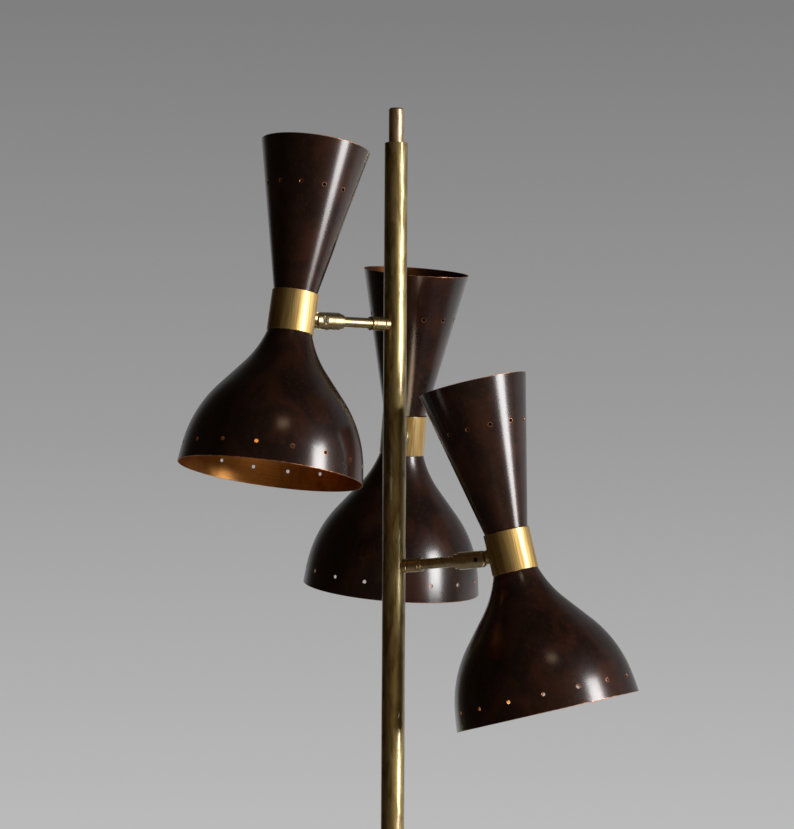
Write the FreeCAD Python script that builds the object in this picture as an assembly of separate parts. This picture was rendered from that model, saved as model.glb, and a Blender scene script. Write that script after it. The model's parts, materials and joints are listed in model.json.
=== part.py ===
import FreeCAD, Part
import math
import os

# A tension pole lamp: a brass pole held between floor and ceiling by a sprung plunger at its top.
# Three double shades stand round it on swivelling arms. Each shade is a bell below and a cone above,
# joined at a brass band. Millimetres, +Z up, origin under the middle of the foot, on the pole's axis.
# Seen from azimuth 0 the eye looks along +Y, with +X to the right.

os.makedirs("parts", exist_ok=True)
Vector = FreeCAD.Vector
UP = Vector(0, 0, 1)

# Pole and foot
POLE_RADIUS = 12.5
POLE_BORE = 11.0
POLE_TOP = 2412.0
POLE_BOTTOM = 30.0
POLE_JOINT = 1221.0
JOINER_LENGTH = 100.0
JOINER_BORE = 8.0
INNER_RADIUS = POLE_BORE - 0.05
FOOT_RADIUS = 60.0
PAD_RADIUS = 58.0
PAD_THICKNESS = 3.0
PLATE_THICKNESS = 12.0
PLATE_EDGE_ROUND = 4.0
SOCKET_RADIUS = 18.0
SOCKET_FLANGE = 7.0
SOCKET_BEVEL = 2.0
SOCKET_NECK_STEP = 1.5
SOCKET_SPIGOT_TOP = 50.0
BOLT_RADIUS = 4.0
BOLT_HEAD_RADIUS = 7.0
BOLT_HEAD_HEIGHT = 5.0
BOLT_HEAD_ROOM = 1.5
BOLT_TOP = 42.0
GRUB_RADIUS = 2.0
GRUB_INNER_Y = 7.5
GRUB_OUTER_Y = 12.2
GRUB_HEX = 1.1
GRUB_HEX_DEPTH = 2.0
GRUB_HEIGHTS = (40.0, POLE_JOINT - 25.0, POLE_JOINT + 25.0)

# Cord inlet at the back of the pole, and the three leads inside it
INLET_HEIGHT = 75.0
INLET_BORE = 3.3
INLET_BODY = 5.0
INLET_FLANGE = 7.0
INLET_INNER_Y = 9.8
INLET_OUTER_Y = 14.3
LEAD_RADIUS = 1.6
LEAD_PITCH_RADIUS = 2.2
LEAD_BOTTOM = 62.0

# Sprung plunger
ROD_RADIUS = 8.1
ROD_SHOWS = 38.0
ROD_LENGTH = 150.0
ROD_EDGE_ROUND = 0.7
TIP_PAD_RADIUS = 7.3
TIP_PAD_THICKNESS = 2.5
TIP_PAD_PROUD = 1.0
BUSH_LENGTH = 29.2
BUSH_RECESS = 0.8
STOP_RADIUS = 10.6
STOP_LENGTH = 9.5
STOP_GAP = 0.3
SPRING_SEAT_TOP = 2240.0
SPRING_SEAT_THICKNESS = 8.0
SPRING_MEAN_RADIUS = 9.6
SPRING_WIRE_RADIUS = 1.1
SPRING_TURNS = 15

# Arms, measured outward from the pole's axis
NIPPLE_RADIUS = 4.0
NIPPLE_BORE = 2.5
NIPPLE_INNER = 6.5
NIPPLE_OUTER = 31.0
BOSS_HEIGHT = 26.0
BOSS_BORE = 6.0
SADDLE_RADIUS = 7.3
SADDLE_INNER = 7.0
SADDLE_OUTER = 17.6
SADDLE_ROUND = 1.8
COLLAR_RADIUS = 7.5
COLLAR_INNER = 18.0
COLLAR_FLOOR = 20.5
COLLAR_OUTER = 30.0
COLLAR_CHAMBER = 6.6
CAP_GROOVE = 0.5
CAP_OUTER = 34.0
CAP_SPIGOT = 26.0
CAP_CHAMFER = 0.6
RUNNING_FIT = 0.06
ARM_RADIUS = 5.7
ARM_START = 21.0
ARM_END = 80.0
ARM_FLANGE_RADIUS = 6.5
ARM_FLANGE_END = 25.5
ARM_BORE = NIPPLE_RADIUS + RUNNING_FIT

# Knuckle between arm and shade
FORK_RADIUS = 9.5
FORK_START = 77.0
FORK_CHAMFER = 0.6
SHOULDER_START = 72.0
SHOULDER_RADIUS = 8.0
SHOULDER_CHAMFER = 0.8
PIVOT_REACH = 100.0
FORK_WIRE_BORE = 3.5
SLOT_HALF = 3.4
SLOT_START = 91.5
TONGUE_HALF = 2.5
TONGUE_RADIUS = 7.0
PIN_RADIUS = 2.5
PIN_HEAD_RADIUS = 4.0
PIN_HEAD_HEIGHT = 1.6
PIN_HEAD_SEAT = 8.0
PIN_HEAD_ROOM = 0.2
PIN_END_SUNK = 0.2
PIN_SLOT_WIDTH = 1.0
PIN_SLOT_DEPTH = 0.8
PIN_SLOT_TURN = 35.0
WASHER_RADIUS = 6.5
WASHER_INNER = 2.6
WASHER_SLACK = 0.1
PIVOT_TO_SHADE_AXIS = 38.0
TONGUE_BOSS_RADIUS = 8.0
TONGUE_BOSS_THICKNESS = 2.6
STUD_RADIUS = 3.0
STUD_DEPTH = 8.0

# Double shade, measured from the middle of its band
SHEET = 1.0
BAND_RADIUS = 24.75
BAND_BORE = 22.9
BAND_HALF = 22.0
BAND_CHAMFER = 0.4
NECK_RADIUS = 22.85
STEM_HOLE = 5.2
CONE_BOTTOM_RADIUS = 23.1
CONE_TOP_RADIUS = 58.0
CONE_HEIGHT = 159.2
CONE_HOLES = 12
CONE_HOLES_BELOW_RIM = 49.0
BELL_TOP_RADIUS = 24.0
BELL_HEIGHT = 151.0
# The bell flares from the band, runs straight, then turns in to a nearly upright skirt.
BELL_FLARE_DEPTH = 38.0
BELL_STRAIGHT_DEPTH = 65.0
BELL_TURN_DEPTH = 129.0
BELL_TOP_ANGLE = 17.0
BELL_FLARE_ANGLE = 39.6
BELL_SKIRT_ANGLE = 8.6
BELL_RIM_ANGLE = 4.9
BELL_HOLES = 16
BELL_HOLES_ABOVE_RIM = 18.5
HOLE_RADIUS = 1.9
DRILL_REACH = 6.0
BRIDGE_HALF = 6.0
STEM_RADIUS = 5.0
STEM_BORE = 3.5
STEM_HALF = 14.0
HOLDER_RADIUS = 13.5
HOLDER_START = 7.0
HOLDER_END = 47.0
HOLDER_BORE = 7.2
HOLDER_FLOOR = 16.0
HOLDER_CHAMFER = 1.0
BULB_CAP_RADIUS = 6.95
BULB_CAP_START = 20.0
BULB_NECK_START = 47.6
BULB_NECK_RADIUS = 9.0
BULB_GLASS = 1.2
CANDLE_RADIUS = 17.5
CANDLE_WIDEST = 76.0
CANDLE_END = 122.0
CANDLE_TIP_RADIUS = 5.0
GLOBE_RADIUS = 22.5
GLOBE_CENTRE = 80.0

# The three heads: where the arm leaves the pole, how it points, and how its shade is set.
# drop is below the pole's top, azimuth is about the pole from +X, and rise is the arm's slope.
# swivel turns the shade about the arm, and lean tips its cone towards the pole.
# cone_turn and bell_turn are where each ring of holes starts, from the side away from the pole.
HEADS = {
    "high": {"drop": 197.6, "azimuth": -141.9, "rise": -2.0, "swivel": 1.4, "lean": 10.1,
             "cone_turn": 12.4, "bell_turn": 20.9},
    "middle": {"drop": 311.0, "azimuth": 86.3, "rise": 0.0, "swivel": -5.1, "lean": 11.6,
               "cone_turn": 19.2, "bell_turn": 8.7},
    "low": {"drop": 458.5, "azimuth": -25.5, "rise": 3.5, "swivel": -6.0, "lean": 8.2,
            "cone_turn": 3.9, "bell_turn": 0.5},
}


def turned(outline):
    """A solid turned about the Z axis from a closed outline of (radius, height) points."""
    points = [Vector(radius, 0, height) for radius, height in outline]
    face = Part.Face(Part.makePolygon(points + points[:1]))
    return face.revolve(Vector(0, 0, 0), UP, 360)


def turned_edges(edges):
    """A solid turned about the Z axis from the edges of a closed outline in the XZ plane."""
    face = Part.Face(Part.Wire(edges))
    return face.revolve(Vector(0, 0, 0), UP, 360)


def ring(outer, inner, bottom, top):
    """A plain round sleeve standing on Z."""
    return turned([(inner, bottom), (outer, bottom), (outer, top), (inner, top)])


def rod(radius, bottom, top):
    """A plain round bar standing on Z."""
    return Part.makeCylinder(radius, top - bottom, Vector(0, 0, bottom))


def along_x(shape):
    """Lays a shape that was turned about Z along X, so that its height runs outward."""
    laid = shape.copy()
    laid.rotate(Vector(0, 0, 0), Vector(0, 1, 0), 90)
    return laid


def line(start, end):
    """A straight edge between two (radius, height) points."""
    return Part.LineSegment(Vector(start[0], 0, start[1]), Vector(end[0], 0, end[1])).toShape()


def arc(start, middle, end):
    """A round edge through three (radius, height) points."""
    points = [Vector(radius, 0, height) for radius, height in (start, middle, end)]
    return Part.Arc(*points).toShape()


def placement(origin, x_axis, y_axis, z_axis):
    """The place of a frame with this origin and these axes."""
    return FreeCAD.Placement(FreeCAD.Matrix(
        x_axis.x, y_axis.x, z_axis.x, origin.x,
        x_axis.y, y_axis.y, z_axis.y, origin.y,
        x_axis.z, y_axis.z, z_axis.z, origin.z,
        0, 0, 0, 1))


def placed(shape, place):
    """A copy of a shape, moved from its own frame to its place on the lamp."""
    copy = shape.copy()
    copy.Placement = place.multiply(copy.Placement)
    return copy


def write(name, *solids):
    """Writes one node. Identical pieces that share a node are separate solids in it."""
    shape = solids[0] if len(solids) == 1 else Part.makeCompound(list(solids))
    shape.exportStep("parts/" + name + ".step")
    print(name, "solids", len(shape.Solids), "valid", shape.isValid(), "cm3", round(shape.Volume / 1000, 2))


# Foot ---------------------------------------------------------------------------------------------

def foot_pad():
    """The soft disc that the lamp stands on."""
    return rod(PAD_RADIUS, 0, PAD_THICKNESS)


def foot_plate():
    """The heavy disc, with a rounded upper edge and a recess below for the bolt's head."""
    top = PAD_THICKNESS + PLATE_THICKNESS
    disc = rod(FOOT_RADIUS, PAD_THICKNESS, top)
    upper_edges = [edge for edge in disc.Edges if edge.BoundBox.ZMin > top - 0.01]
    disc = disc.makeFillet(PLATE_EDGE_ROUND, upper_edges)
    recess = rod(BOLT_HEAD_RADIUS + BOLT_HEAD_ROOM, PAD_THICKNESS, PAD_THICKNESS + BOLT_HEAD_HEIGHT)
    hole = rod(BOLT_RADIUS, PAD_THICKNESS, top)
    return disc.cut(recess).cut(hole)


def foot_bolt():
    """The bolt that holds the plate to the socket, seen from below only without the pad."""
    under_head = PAD_THICKNESS + BOLT_HEAD_HEIGHT
    return turned([(0, PAD_THICKNESS), (BOLT_HEAD_RADIUS, PAD_THICKNESS), (BOLT_HEAD_RADIUS, under_head),
                   (BOLT_RADIUS, under_head), (BOLT_RADIUS, BOLT_TOP), (0, BOLT_TOP)])


def foot_socket():
    """The turned collar on the plate, with a spigot inside the pole."""
    base = PAD_THICKNESS + PLATE_THICKNESS
    flange_top = base + SOCKET_FLANGE
    body = turned([(BOLT_RADIUS, base), (SOCKET_RADIUS, base), (SOCKET_RADIUS, flange_top - SOCKET_BEVEL),
                   (SOCKET_RADIUS - SOCKET_BEVEL, flange_top),
                   (POLE_RADIUS + SOCKET_NECK_STEP, flange_top + SOCKET_NECK_STEP / 2),
                   (POLE_RADIUS, flange_top + 2 * SOCKET_NECK_STEP), (POLE_RADIUS, POLE_BOTTOM),
                   (INNER_RADIUS, POLE_BOTTOM),
                   (INNER_RADIUS, SOCKET_SPIGOT_TOP), (0, SOCKET_SPIGOT_TOP), (0, BOLT_TOP),
                   (BOLT_RADIUS, BOLT_TOP)])
    return body.cut(grub_hole(GRUB_HEIGHTS[0]))


def grub_hole(height):
    """The round hole for one grub screw, in from the back."""
    start = Vector(0, GRUB_INNER_Y, height)
    return Part.makeCylinder(GRUB_RADIUS, POLE_RADIUS, start, Vector(0, 1, 0))


def grub_screw(height):
    """A headless screw with a hexagon socket, sunk just under the pole's surface."""
    length = GRUB_OUTER_Y - GRUB_INNER_Y
    body = Part.makeCylinder(GRUB_RADIUS, length, Vector(0, GRUB_INNER_Y, height), Vector(0, 1, 0))
    corners = [Vector(GRUB_HEX * math.cos(math.radians(60 * k)), GRUB_OUTER_Y - GRUB_HEX_DEPTH,
                      height + GRUB_HEX * math.sin(math.radians(60 * k))) for k in range(7)]
    hexagon = Part.Face(Part.makePolygon(corners)).extrude(Vector(0, GRUB_HEX_DEPTH, 0))
    return body.cut(hexagon)


# Pole ---------------------------------------------------------------------------------------------

def inlet_hole():
    """The hole in the pole's back wall for the cord inlet."""
    start = Vector(0, INLET_INNER_Y, INLET_HEIGHT)
    return Part.makeCylinder(INLET_BODY, POLE_RADIUS, start, Vector(0, 1, 0))


def cord_inlet():
    """The bush that a cord would enter through, its flange shaped to the pole."""
    back = Vector(0, 1, 0)
    start = Vector(0, INLET_INNER_Y, INLET_HEIGHT)
    body = Part.makeCylinder(INLET_BODY, INLET_OUTER_Y - INLET_INNER_Y, start, back)
    flange = Part.makeCylinder(INLET_FLANGE, INLET_OUTER_Y - INLET_INNER_Y, start, back)
    flange = flange.cut(rod(POLE_RADIUS, INLET_HEIGHT - 20, INLET_HEIGHT + 20))
    bore = Part.makeCylinder(INLET_BORE, 2 * POLE_RADIUS, start - back, back)
    return body.fuse(flange).cut(bore).removeSplitter()


def pole_lower():
    """The lower tube, with the holes for the foot's screw, the joiner's screw and the inlet."""
    tube = ring(POLE_RADIUS, POLE_BORE, POLE_BOTTOM, POLE_JOINT)
    return tube.cut(grub_hole(GRUB_HEIGHTS[0])).cut(grub_hole(GRUB_HEIGHTS[1])).cut(inlet_hole())


def pole_upper():
    """The upper tube, with a hole for the joiner's screw and one for each arm's nipple."""
    tube = ring(POLE_RADIUS, POLE_BORE, POLE_JOINT, POLE_TOP).cut(grub_hole(GRUB_HEIGHTS[2]))
    for head in HEADS.values():
        hole = along_x(rod(NIPPLE_RADIUS, NIPPLE_INNER, 2 * POLE_RADIUS))
        tube = tube.cut(placed(hole, arm_place(head)))
    return tube


def pole_joiner():
    """The sleeve inside the pole where its two tubes meet."""
    half = JOINER_LENGTH / 2
    sleeve = ring(INNER_RADIUS, JOINER_BORE, POLE_JOINT - half, POLE_JOINT + half)
    return sleeve.cut(grub_hole(GRUB_HEIGHTS[1])).cut(grub_hole(GRUB_HEIGHTS[2]))


def pole_lead(index, head):
    """One head's lead, from the foot to the boss behind its arm."""
    angle = math.radians(90 + 120 * index)
    foot = Vector(LEAD_PITCH_RADIUS * math.cos(angle), LEAD_PITCH_RADIUS * math.sin(angle), LEAD_BOTTOM)
    return Part.makeCylinder(LEAD_RADIUS, POLE_TOP - head["drop"] - LEAD_BOTTOM, foot)


# Plunger ------------------------------------------------------------------------------------------

ROD_TOP = POLE_TOP + ROD_SHOWS - TIP_PAD_PROUD
BUSH_TOP = POLE_TOP - BUSH_RECESS
STOP_TOP = BUSH_TOP - BUSH_LENGTH - STOP_GAP


def top_bush():
    """The guide in the pole's top end."""
    return ring(INNER_RADIUS, ROD_RADIUS + RUNNING_FIT, BUSH_TOP - BUSH_LENGTH, BUSH_TOP)


def plunger_rod():
    """The slim rod that slides out of the pole's top, with a round edge and a seat for its pad."""
    bar = rod(ROD_RADIUS, ROD_TOP - ROD_LENGTH, ROD_TOP)
    end_edges = [edge for edge in bar.Edges if edge.BoundBox.ZMin > ROD_TOP - 0.01]
    bar = bar.makeFillet(ROD_EDGE_ROUND, end_edges)
    return bar.cut(rod(TIP_PAD_RADIUS, ROD_TOP + TIP_PAD_PROUD - TIP_PAD_THICKNESS, ROD_TOP + 1))


def tip_pad():
    """The thin soft disc that meets the ceiling."""
    top = ROD_TOP + TIP_PAD_PROUD
    return rod(TIP_PAD_RADIUS, top - TIP_PAD_THICKNESS, top)


def plunger_stop():
    """The collar that keeps the rod in the pole and takes the spring's push."""
    return ring(STOP_RADIUS, ROD_RADIUS, STOP_TOP - STOP_LENGTH, STOP_TOP)


def spring_seat():
    """The plug inside the pole that the spring stands on."""
    return rod(INNER_RADIUS, SPRING_SEAT_TOP - SPRING_SEAT_THICKNESS, SPRING_SEAT_TOP)


def plunger_spring():
    """The coil spring between the seat and the plunger's stop."""
    bottom = SPRING_SEAT_TOP + SPRING_WIRE_RADIUS
    height = STOP_TOP - STOP_LENGTH - SPRING_WIRE_RADIUS - bottom
    path = Part.Wire(Part.makeHelix(height / SPRING_TURNS, height, SPRING_MEAN_RADIUS))
    path.translate(Vector(0, 0, bottom))
    start = Vector(SPRING_MEAN_RADIUS, 0, bottom)
    section = Part.Wire(Part.Circle(start, Vector(0, 1, 0), SPRING_WIRE_RADIUS).toShape())
    spring = path.makePipeShell([section], True, True)
    pitch = height / SPRING_TURNS
    wire_length = SPRING_TURNS * math.hypot(pitch, 2 * math.pi * SPRING_MEAN_RADIUS)
    expected = wire_length * math.pi * SPRING_WIRE_RADIUS ** 2
    print("spring: gap between turns", round(pitch - 2 * SPRING_WIRE_RADIUS, 2),
          "volume against length times section", round(spring.Volume / expected, 3))
    return spring


# Arms ---------------------------------------------------------------------------------------------

def arm_axes(head):
    """The arm's own axes: outward along it, level across it, and square to both."""
    azimuth = math.radians(head["azimuth"])
    rise = math.radians(head["rise"])
    outward = Vector(math.cos(rise) * math.cos(azimuth), math.cos(rise) * math.sin(azimuth), math.sin(rise))
    across = Vector(-math.sin(azimuth), math.cos(azimuth), 0)
    return outward, across, outward.cross(across)


def arm_root(head):
    """Where the arm's axis meets the pole's axis."""
    return Vector(0, 0, POLE_TOP - head["drop"])


def arm_place(head):
    """The frame of the pieces that stay with the pole: X runs outward along the arm."""
    outward, across, square = arm_axes(head)
    return placement(arm_root(head), outward, across, square)


def fork_axes(head):
    """The arm's axes turned by its swivel: outward, along the pivot pin, and square to both."""
    outward, across, square = arm_axes(head)
    swivel = math.radians(head["swivel"])
    pin = across * math.cos(swivel) - square * math.sin(swivel)
    return outward, pin, outward.cross(pin)


def fork_place(head):
    """The frame of the pieces that swivel with the arm."""
    return placement(arm_root(head), *fork_axes(head))


def shade_place(head):
    """The frame of the double shade: origin at its band, X away from the pivot, Z up its axis."""
    outward, pin, square = fork_axes(head)
    lean = math.radians(head["lean"])
    away = outward * math.cos(lean) + square * math.sin(lean)
    axis = square * math.cos(lean) - outward * math.sin(lean)
    origin = arm_root(head) + outward * PIVOT_REACH + away * PIVOT_TO_SHADE_AXIS
    return placement(origin, away, pin, axis)


def arm_boss(head):
    """The block inside the pole that the arm's nipple screws into, with a passage for the leads."""
    height = POLE_TOP - head["drop"]
    block = ring(INNER_RADIUS, BOSS_BORE, height - BOSS_HEIGHT / 2, height + BOSS_HEIGHT / 2)
    thread = along_x(rod(NIPPLE_RADIUS, 0, 2 * POLE_RADIUS))
    return block.cut(placed(thread, arm_place(head)))


def arm_nipple():
    """The hollow screw that holds the arm to the pole."""
    return along_x(ring(NIPPLE_RADIUS, NIPPLE_BORE, NIPPLE_INNER, NIPPLE_OUTER))


def saddle_washer(head):
    """The rounded washer under the collar, hollowed to sit on the pole."""
    blank = ring(SADDLE_RADIUS, NIPPLE_RADIUS, SADDLE_INNER, SADDLE_OUTER)
    outer_edge = [edge for edge in blank.Edges
                  if edge.BoundBox.ZMin > SADDLE_OUTER - 0.01 and edge.BoundBox.XMax > SADDLE_RADIUS - 0.01]
    blank = along_x(blank.makeFillet(SADDLE_ROUND, outer_edge))
    height = POLE_TOP - head["drop"]
    return placed(blank, arm_place(head)).cut(rod(POLE_RADIUS, height - 40, height + 40))


def arm_collar():
    """The swivel's housing, with a chamber for the arm's flange."""
    body = turned([(NIPPLE_RADIUS, COLLAR_INNER), (COLLAR_RADIUS, COLLAR_INNER),
                   (COLLAR_RADIUS, COLLAR_OUTER), (COLLAR_CHAMBER, COLLAR_OUTER),
                   (COLLAR_CHAMBER, COLLAR_FLOOR), (NIPPLE_RADIUS, COLLAR_FLOOR)])
    return along_x(body)


def collar_cap():
    """The ring that screws into the collar and keeps the arm's flange in it."""
    groove_end = COLLAR_OUTER + CAP_GROOVE
    bore = ARM_RADIUS + RUNNING_FIT
    body = turned([(bore, CAP_SPIGOT), (COLLAR_CHAMBER, CAP_SPIGOT), (COLLAR_CHAMBER, groove_end),
                   (COLLAR_RADIUS, groove_end), (COLLAR_RADIUS, CAP_OUTER - CAP_CHAMFER),
                   (COLLAR_RADIUS - CAP_CHAMFER, CAP_OUTER), (bore, CAP_OUTER)])
    return along_x(body)


def arm_tube():
    """The arm, with the flange that turns in the collar at its inner end."""
    body = turned([(ARM_BORE, ARM_START), (ARM_FLANGE_RADIUS, ARM_START),
                   (ARM_FLANGE_RADIUS, ARM_FLANGE_END), (ARM_RADIUS, ARM_FLANGE_END),
                   (ARM_RADIUS, ARM_END), (ARM_BORE, ARM_END)])
    return along_x(body)


def knuckle_fork():
    """The barrel at the arm's outer end, slotted for the shade's tongue and round at its tip."""
    tip = PIVOT_REACH + FORK_RADIUS
    barrel = turned([(ARM_RADIUS, SHOULDER_START), (SHOULDER_RADIUS - SHOULDER_CHAMFER, SHOULDER_START),
                     (SHOULDER_RADIUS, SHOULDER_START + SHOULDER_CHAMFER), (SHOULDER_RADIUS, FORK_START),
                     (FORK_RADIUS - FORK_CHAMFER, FORK_START), (FORK_RADIUS, FORK_START + FORK_CHAMFER),
                     (FORK_RADIUS, tip), (FORK_WIRE_BORE, tip), (FORK_WIRE_BORE, ARM_END),
                     (ARM_RADIUS, ARM_END)])
    barrel = along_x(barrel)
    side = 2 * FORK_RADIUS + 2
    straight = Part.makeBox(PIVOT_REACH - SHOULDER_START + 1, side, side,
                            Vector(SHOULDER_START - 1, -side / 2, -side / 2))
    round_tip = Part.makeCylinder(FORK_RADIUS, side, Vector(PIVOT_REACH, -side / 2, 0), Vector(0, 1, 0))
    barrel = barrel.common(straight.fuse(round_tip))
    slot = Part.makeBox(tip - SLOT_START + 1, 2 * SLOT_HALF, side, Vector(SLOT_START, -SLOT_HALF, -side / 2))
    pin_hole = Part.makeCylinder(PIN_RADIUS, side, Vector(PIVOT_REACH, -side / 2, 0), Vector(0, 1, 0))
    head_seat = Part.makeCylinder(PIN_HEAD_RADIUS + PIN_HEAD_ROOM, side,
                                  Vector(PIVOT_REACH, PIN_HEAD_SEAT, 0), Vector(0, 1, 0))
    return barrel.cut(slot).cut(pin_hole).cut(head_seat)


def pivot_screw():
    """The slotted screw that the shade tilts on."""
    across = Vector(0, 1, 0)
    far_end = math.sqrt(FORK_RADIUS ** 2 - PIN_RADIUS ** 2) - PIN_END_SUNK
    shank = Part.makeCylinder(PIN_RADIUS, PIN_HEAD_SEAT + far_end, Vector(PIVOT_REACH, -far_end, 0), across)
    head = Part.makeCylinder(PIN_HEAD_RADIUS, PIN_HEAD_HEIGHT, Vector(PIVOT_REACH, PIN_HEAD_SEAT, 0), across)
    crown = PIN_HEAD_SEAT + PIN_HEAD_HEIGHT
    slot_corner = Vector(PIVOT_REACH - PIN_HEAD_RADIUS, crown - PIN_SLOT_DEPTH, -PIN_SLOT_WIDTH / 2)
    slot = Part.makeBox(2 * PIN_HEAD_RADIUS, PIN_HEAD_HEIGHT, PIN_SLOT_WIDTH, slot_corner)
    slot.rotate(Vector(PIVOT_REACH, 0, 0), across, PIN_SLOT_TURN)
    return shank.fuse(head).cut(slot).removeSplitter()


def friction_washer(side):
    """One of the two thin washers that grip the tongue inside the fork."""
    thickness = SLOT_HALF - TONGUE_HALF - WASHER_SLACK
    start = SLOT_HALF - thickness if side > 0 else -SLOT_HALF
    disc = Part.makeCylinder(WASHER_RADIUS, thickness, Vector(PIVOT_REACH, start, 0), Vector(0, 1, 0))
    hole = Part.makeCylinder(WASHER_INNER, thickness, Vector(PIVOT_REACH, start, 0), Vector(0, 1, 0))
    return disc.cut(hole)


# Double shade -------------------------------------------------------------------------------------

def tongue():
    """The flat tongue on the band, with a saddle against it and a stud through its wall."""
    across = Vector(0, 1, 0)
    pivot = -PIVOT_TO_SHADE_AXIS
    boss_start = -(BAND_RADIUS + TONGUE_BOSS_THICKNESS)
    start = Vector(pivot, -TONGUE_HALF, 0)
    eye = Part.makeCylinder(TONGUE_RADIUS, 2 * TONGUE_HALF, start, across)
    plate = Part.makeBox(PIVOT_TO_SHADE_AXIS - BAND_RADIUS, 2 * TONGUE_HALF, 2 * TONGUE_RADIUS,
                         Vector(pivot, -TONGUE_HALF, -TONGUE_RADIUS))
    boss = along_x(rod(TONGUE_BOSS_RADIUS, boss_start, -BAND_RADIUS + TONGUE_BOSS_THICKNESS))
    body = eye.fuse(plate).fuse(boss).cut(rod(BAND_RADIUS, -BAND_HALF, BAND_HALF))
    stud = along_x(rod(STUD_RADIUS, boss_start, -BAND_RADIUS + STUD_DEPTH))
    hole = Part.makeCylinder(PIN_RADIUS + RUNNING_FIT, 4 * TONGUE_HALF, start - across, across)
    return body.fuse(stud).cut(hole).removeSplitter()


def band():
    """The brass sleeve that joins the two shades."""
    edge = BAND_HALF - BAND_CHAMFER
    outer = BAND_RADIUS - BAND_CHAMFER
    sleeve = turned([(BAND_BORE, -BAND_HALF), (outer, -BAND_HALF), (BAND_RADIUS, -edge),
                     (BAND_RADIUS, edge), (outer, BAND_HALF), (BAND_BORE, BAND_HALF)])
    return sleeve.cut(along_x(rod(STUD_RADIUS, -2 * BAND_RADIUS, 0)))


def hole_ring(count, turn, height, wall_radius):
    """The drills for one ring of holes, square to the shade's axis, where the wall has this radius."""
    drills = []
    for index in range(count):
        angle = math.radians(turn + 360 * index / count)
        outward = Vector(math.cos(angle), math.sin(angle), 0)
        start = outward * (wall_radius - DRILL_REACH) + UP * height
        drills.append(Part.makeCylinder(HOLE_RADIUS, 2 * DRILL_REACH, start, outward))
    return Part.makeCompound(drills)


def cone(head):
    """The upper shade: a straight spun cone on a neck inside the band."""
    slope = (CONE_TOP_RADIUS - CONE_BOTTOM_RADIUS) / CONE_HEIGHT
    wall = SHEET * math.hypot(1, slope)
    rim = BAND_HALF + CONE_HEIGHT
    neck_bore = NECK_RADIUS - SHEET
    inner_start = CONE_BOTTOM_RADIUS - wall
    shell = turned([(STEM_HOLE, BRIDGE_HALF), (NECK_RADIUS, BRIDGE_HALF), (NECK_RADIUS, BAND_HALF),
                    (CONE_BOTTOM_RADIUS, BAND_HALF), (CONE_TOP_RADIUS, rim), (CONE_TOP_RADIUS - wall, rim),
                    (inner_start, BAND_HALF), (neck_bore, BAND_HALF - SHEET),
                    (neck_bore, BRIDGE_HALF + SHEET), (STEM_HOLE, BRIDGE_HALF + SHEET)])
    height = rim - CONE_HOLES_BELOW_RIM
    wall_radius = CONE_TOP_RADIUS - slope * CONE_HOLES_BELOW_RIM
    return shell.cut(hole_ring(CONE_HOLES, head["cone_turn"], height, wall_radius))


def bell_arc(start, start_angle, end_angle, depth, offset):
    """A round stretch of the bell's wall, as (edge, end point). Angles are from the bell's axis.

    start is the (radius, depth) of the outer wall, and offset is how far inside it this line runs.
    """
    first = math.radians(start_angle)
    last = math.radians(end_angle)
    radius = depth / (math.sin(last) - math.sin(first))

    def outer(angle):
        return (start[0] + radius * (math.cos(first) - math.cos(angle)),
                start[1] + radius * (math.sin(angle) - math.sin(first)))

    def shifted(angle):
        across, down = outer(angle)
        return (across - offset * math.cos(angle), -BAND_HALF - down - offset * math.sin(angle))

    edge = arc(shifted(first), shifted((first + last) / 2), shifted(last))
    return edge, outer(last)


def bell_wall(offset):
    """The bell's wall line from the band to the rim, offset inward from its outer face."""
    flare, flare_end = bell_arc((BELL_TOP_RADIUS, 0), BELL_TOP_ANGLE, BELL_FLARE_ANGLE,
                                BELL_FLARE_DEPTH, offset)
    run = BELL_STRAIGHT_DEPTH - BELL_FLARE_DEPTH
    slope = math.tan(math.radians(BELL_FLARE_ANGLE))
    turn_start = (flare_end[0] + run * slope, BELL_STRAIGHT_DEPTH)
    turn, turn_end = bell_arc(turn_start, BELL_FLARE_ANGLE, BELL_SKIRT_ANGLE,
                              BELL_TURN_DEPTH - BELL_STRAIGHT_DEPTH, offset)
    skirt, _ = bell_arc(turn_end, BELL_SKIRT_ANGLE, BELL_RIM_ANGLE, BELL_HEIGHT - BELL_TURN_DEPTH, offset)
    straight = Part.LineSegment(flare.lastVertex().Point, turn.firstVertex().Point).toShape()
    return [flare, straight, turn, skirt]


def bell(head):
    """The lower shade: a spun bell hung from a neck inside the band."""
    outer = bell_wall(0)
    inner = bell_wall(SHEET)
    rim = Part.LineSegment(outer[-1].lastVertex().Point, inner[-1].lastVertex().Point).toShape()
    neck_bore = NECK_RADIUS - SHEET
    inner_top = inner[0].firstVertex().Point
    neck = [(inner_top.x, inner_top.z), (neck_bore, inner_top.z), (neck_bore, -BRIDGE_HALF - SHEET),
            (STEM_HOLE, -BRIDGE_HALF - SHEET), (STEM_HOLE, -BRIDGE_HALF), (NECK_RADIUS, -BRIDGE_HALF),
            (NECK_RADIUS, -BAND_HALF), (BELL_TOP_RADIUS, -BAND_HALF)]
    neck_edges = [line(start, end) for start, end in zip(neck, neck[1:])]
    ordered = Part.sortEdges(outer + [rim] + inner + neck_edges)[0]
    shell = turned_edges(ordered)
    height = -BAND_HALF - BELL_HEIGHT + BELL_HOLES_ABOVE_RIM
    rim_radius = outer[-1].lastVertex().Point.x
    return shell.cut(hole_ring(BELL_HOLES, head["bell_turn"], height, rim_radius))


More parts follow.
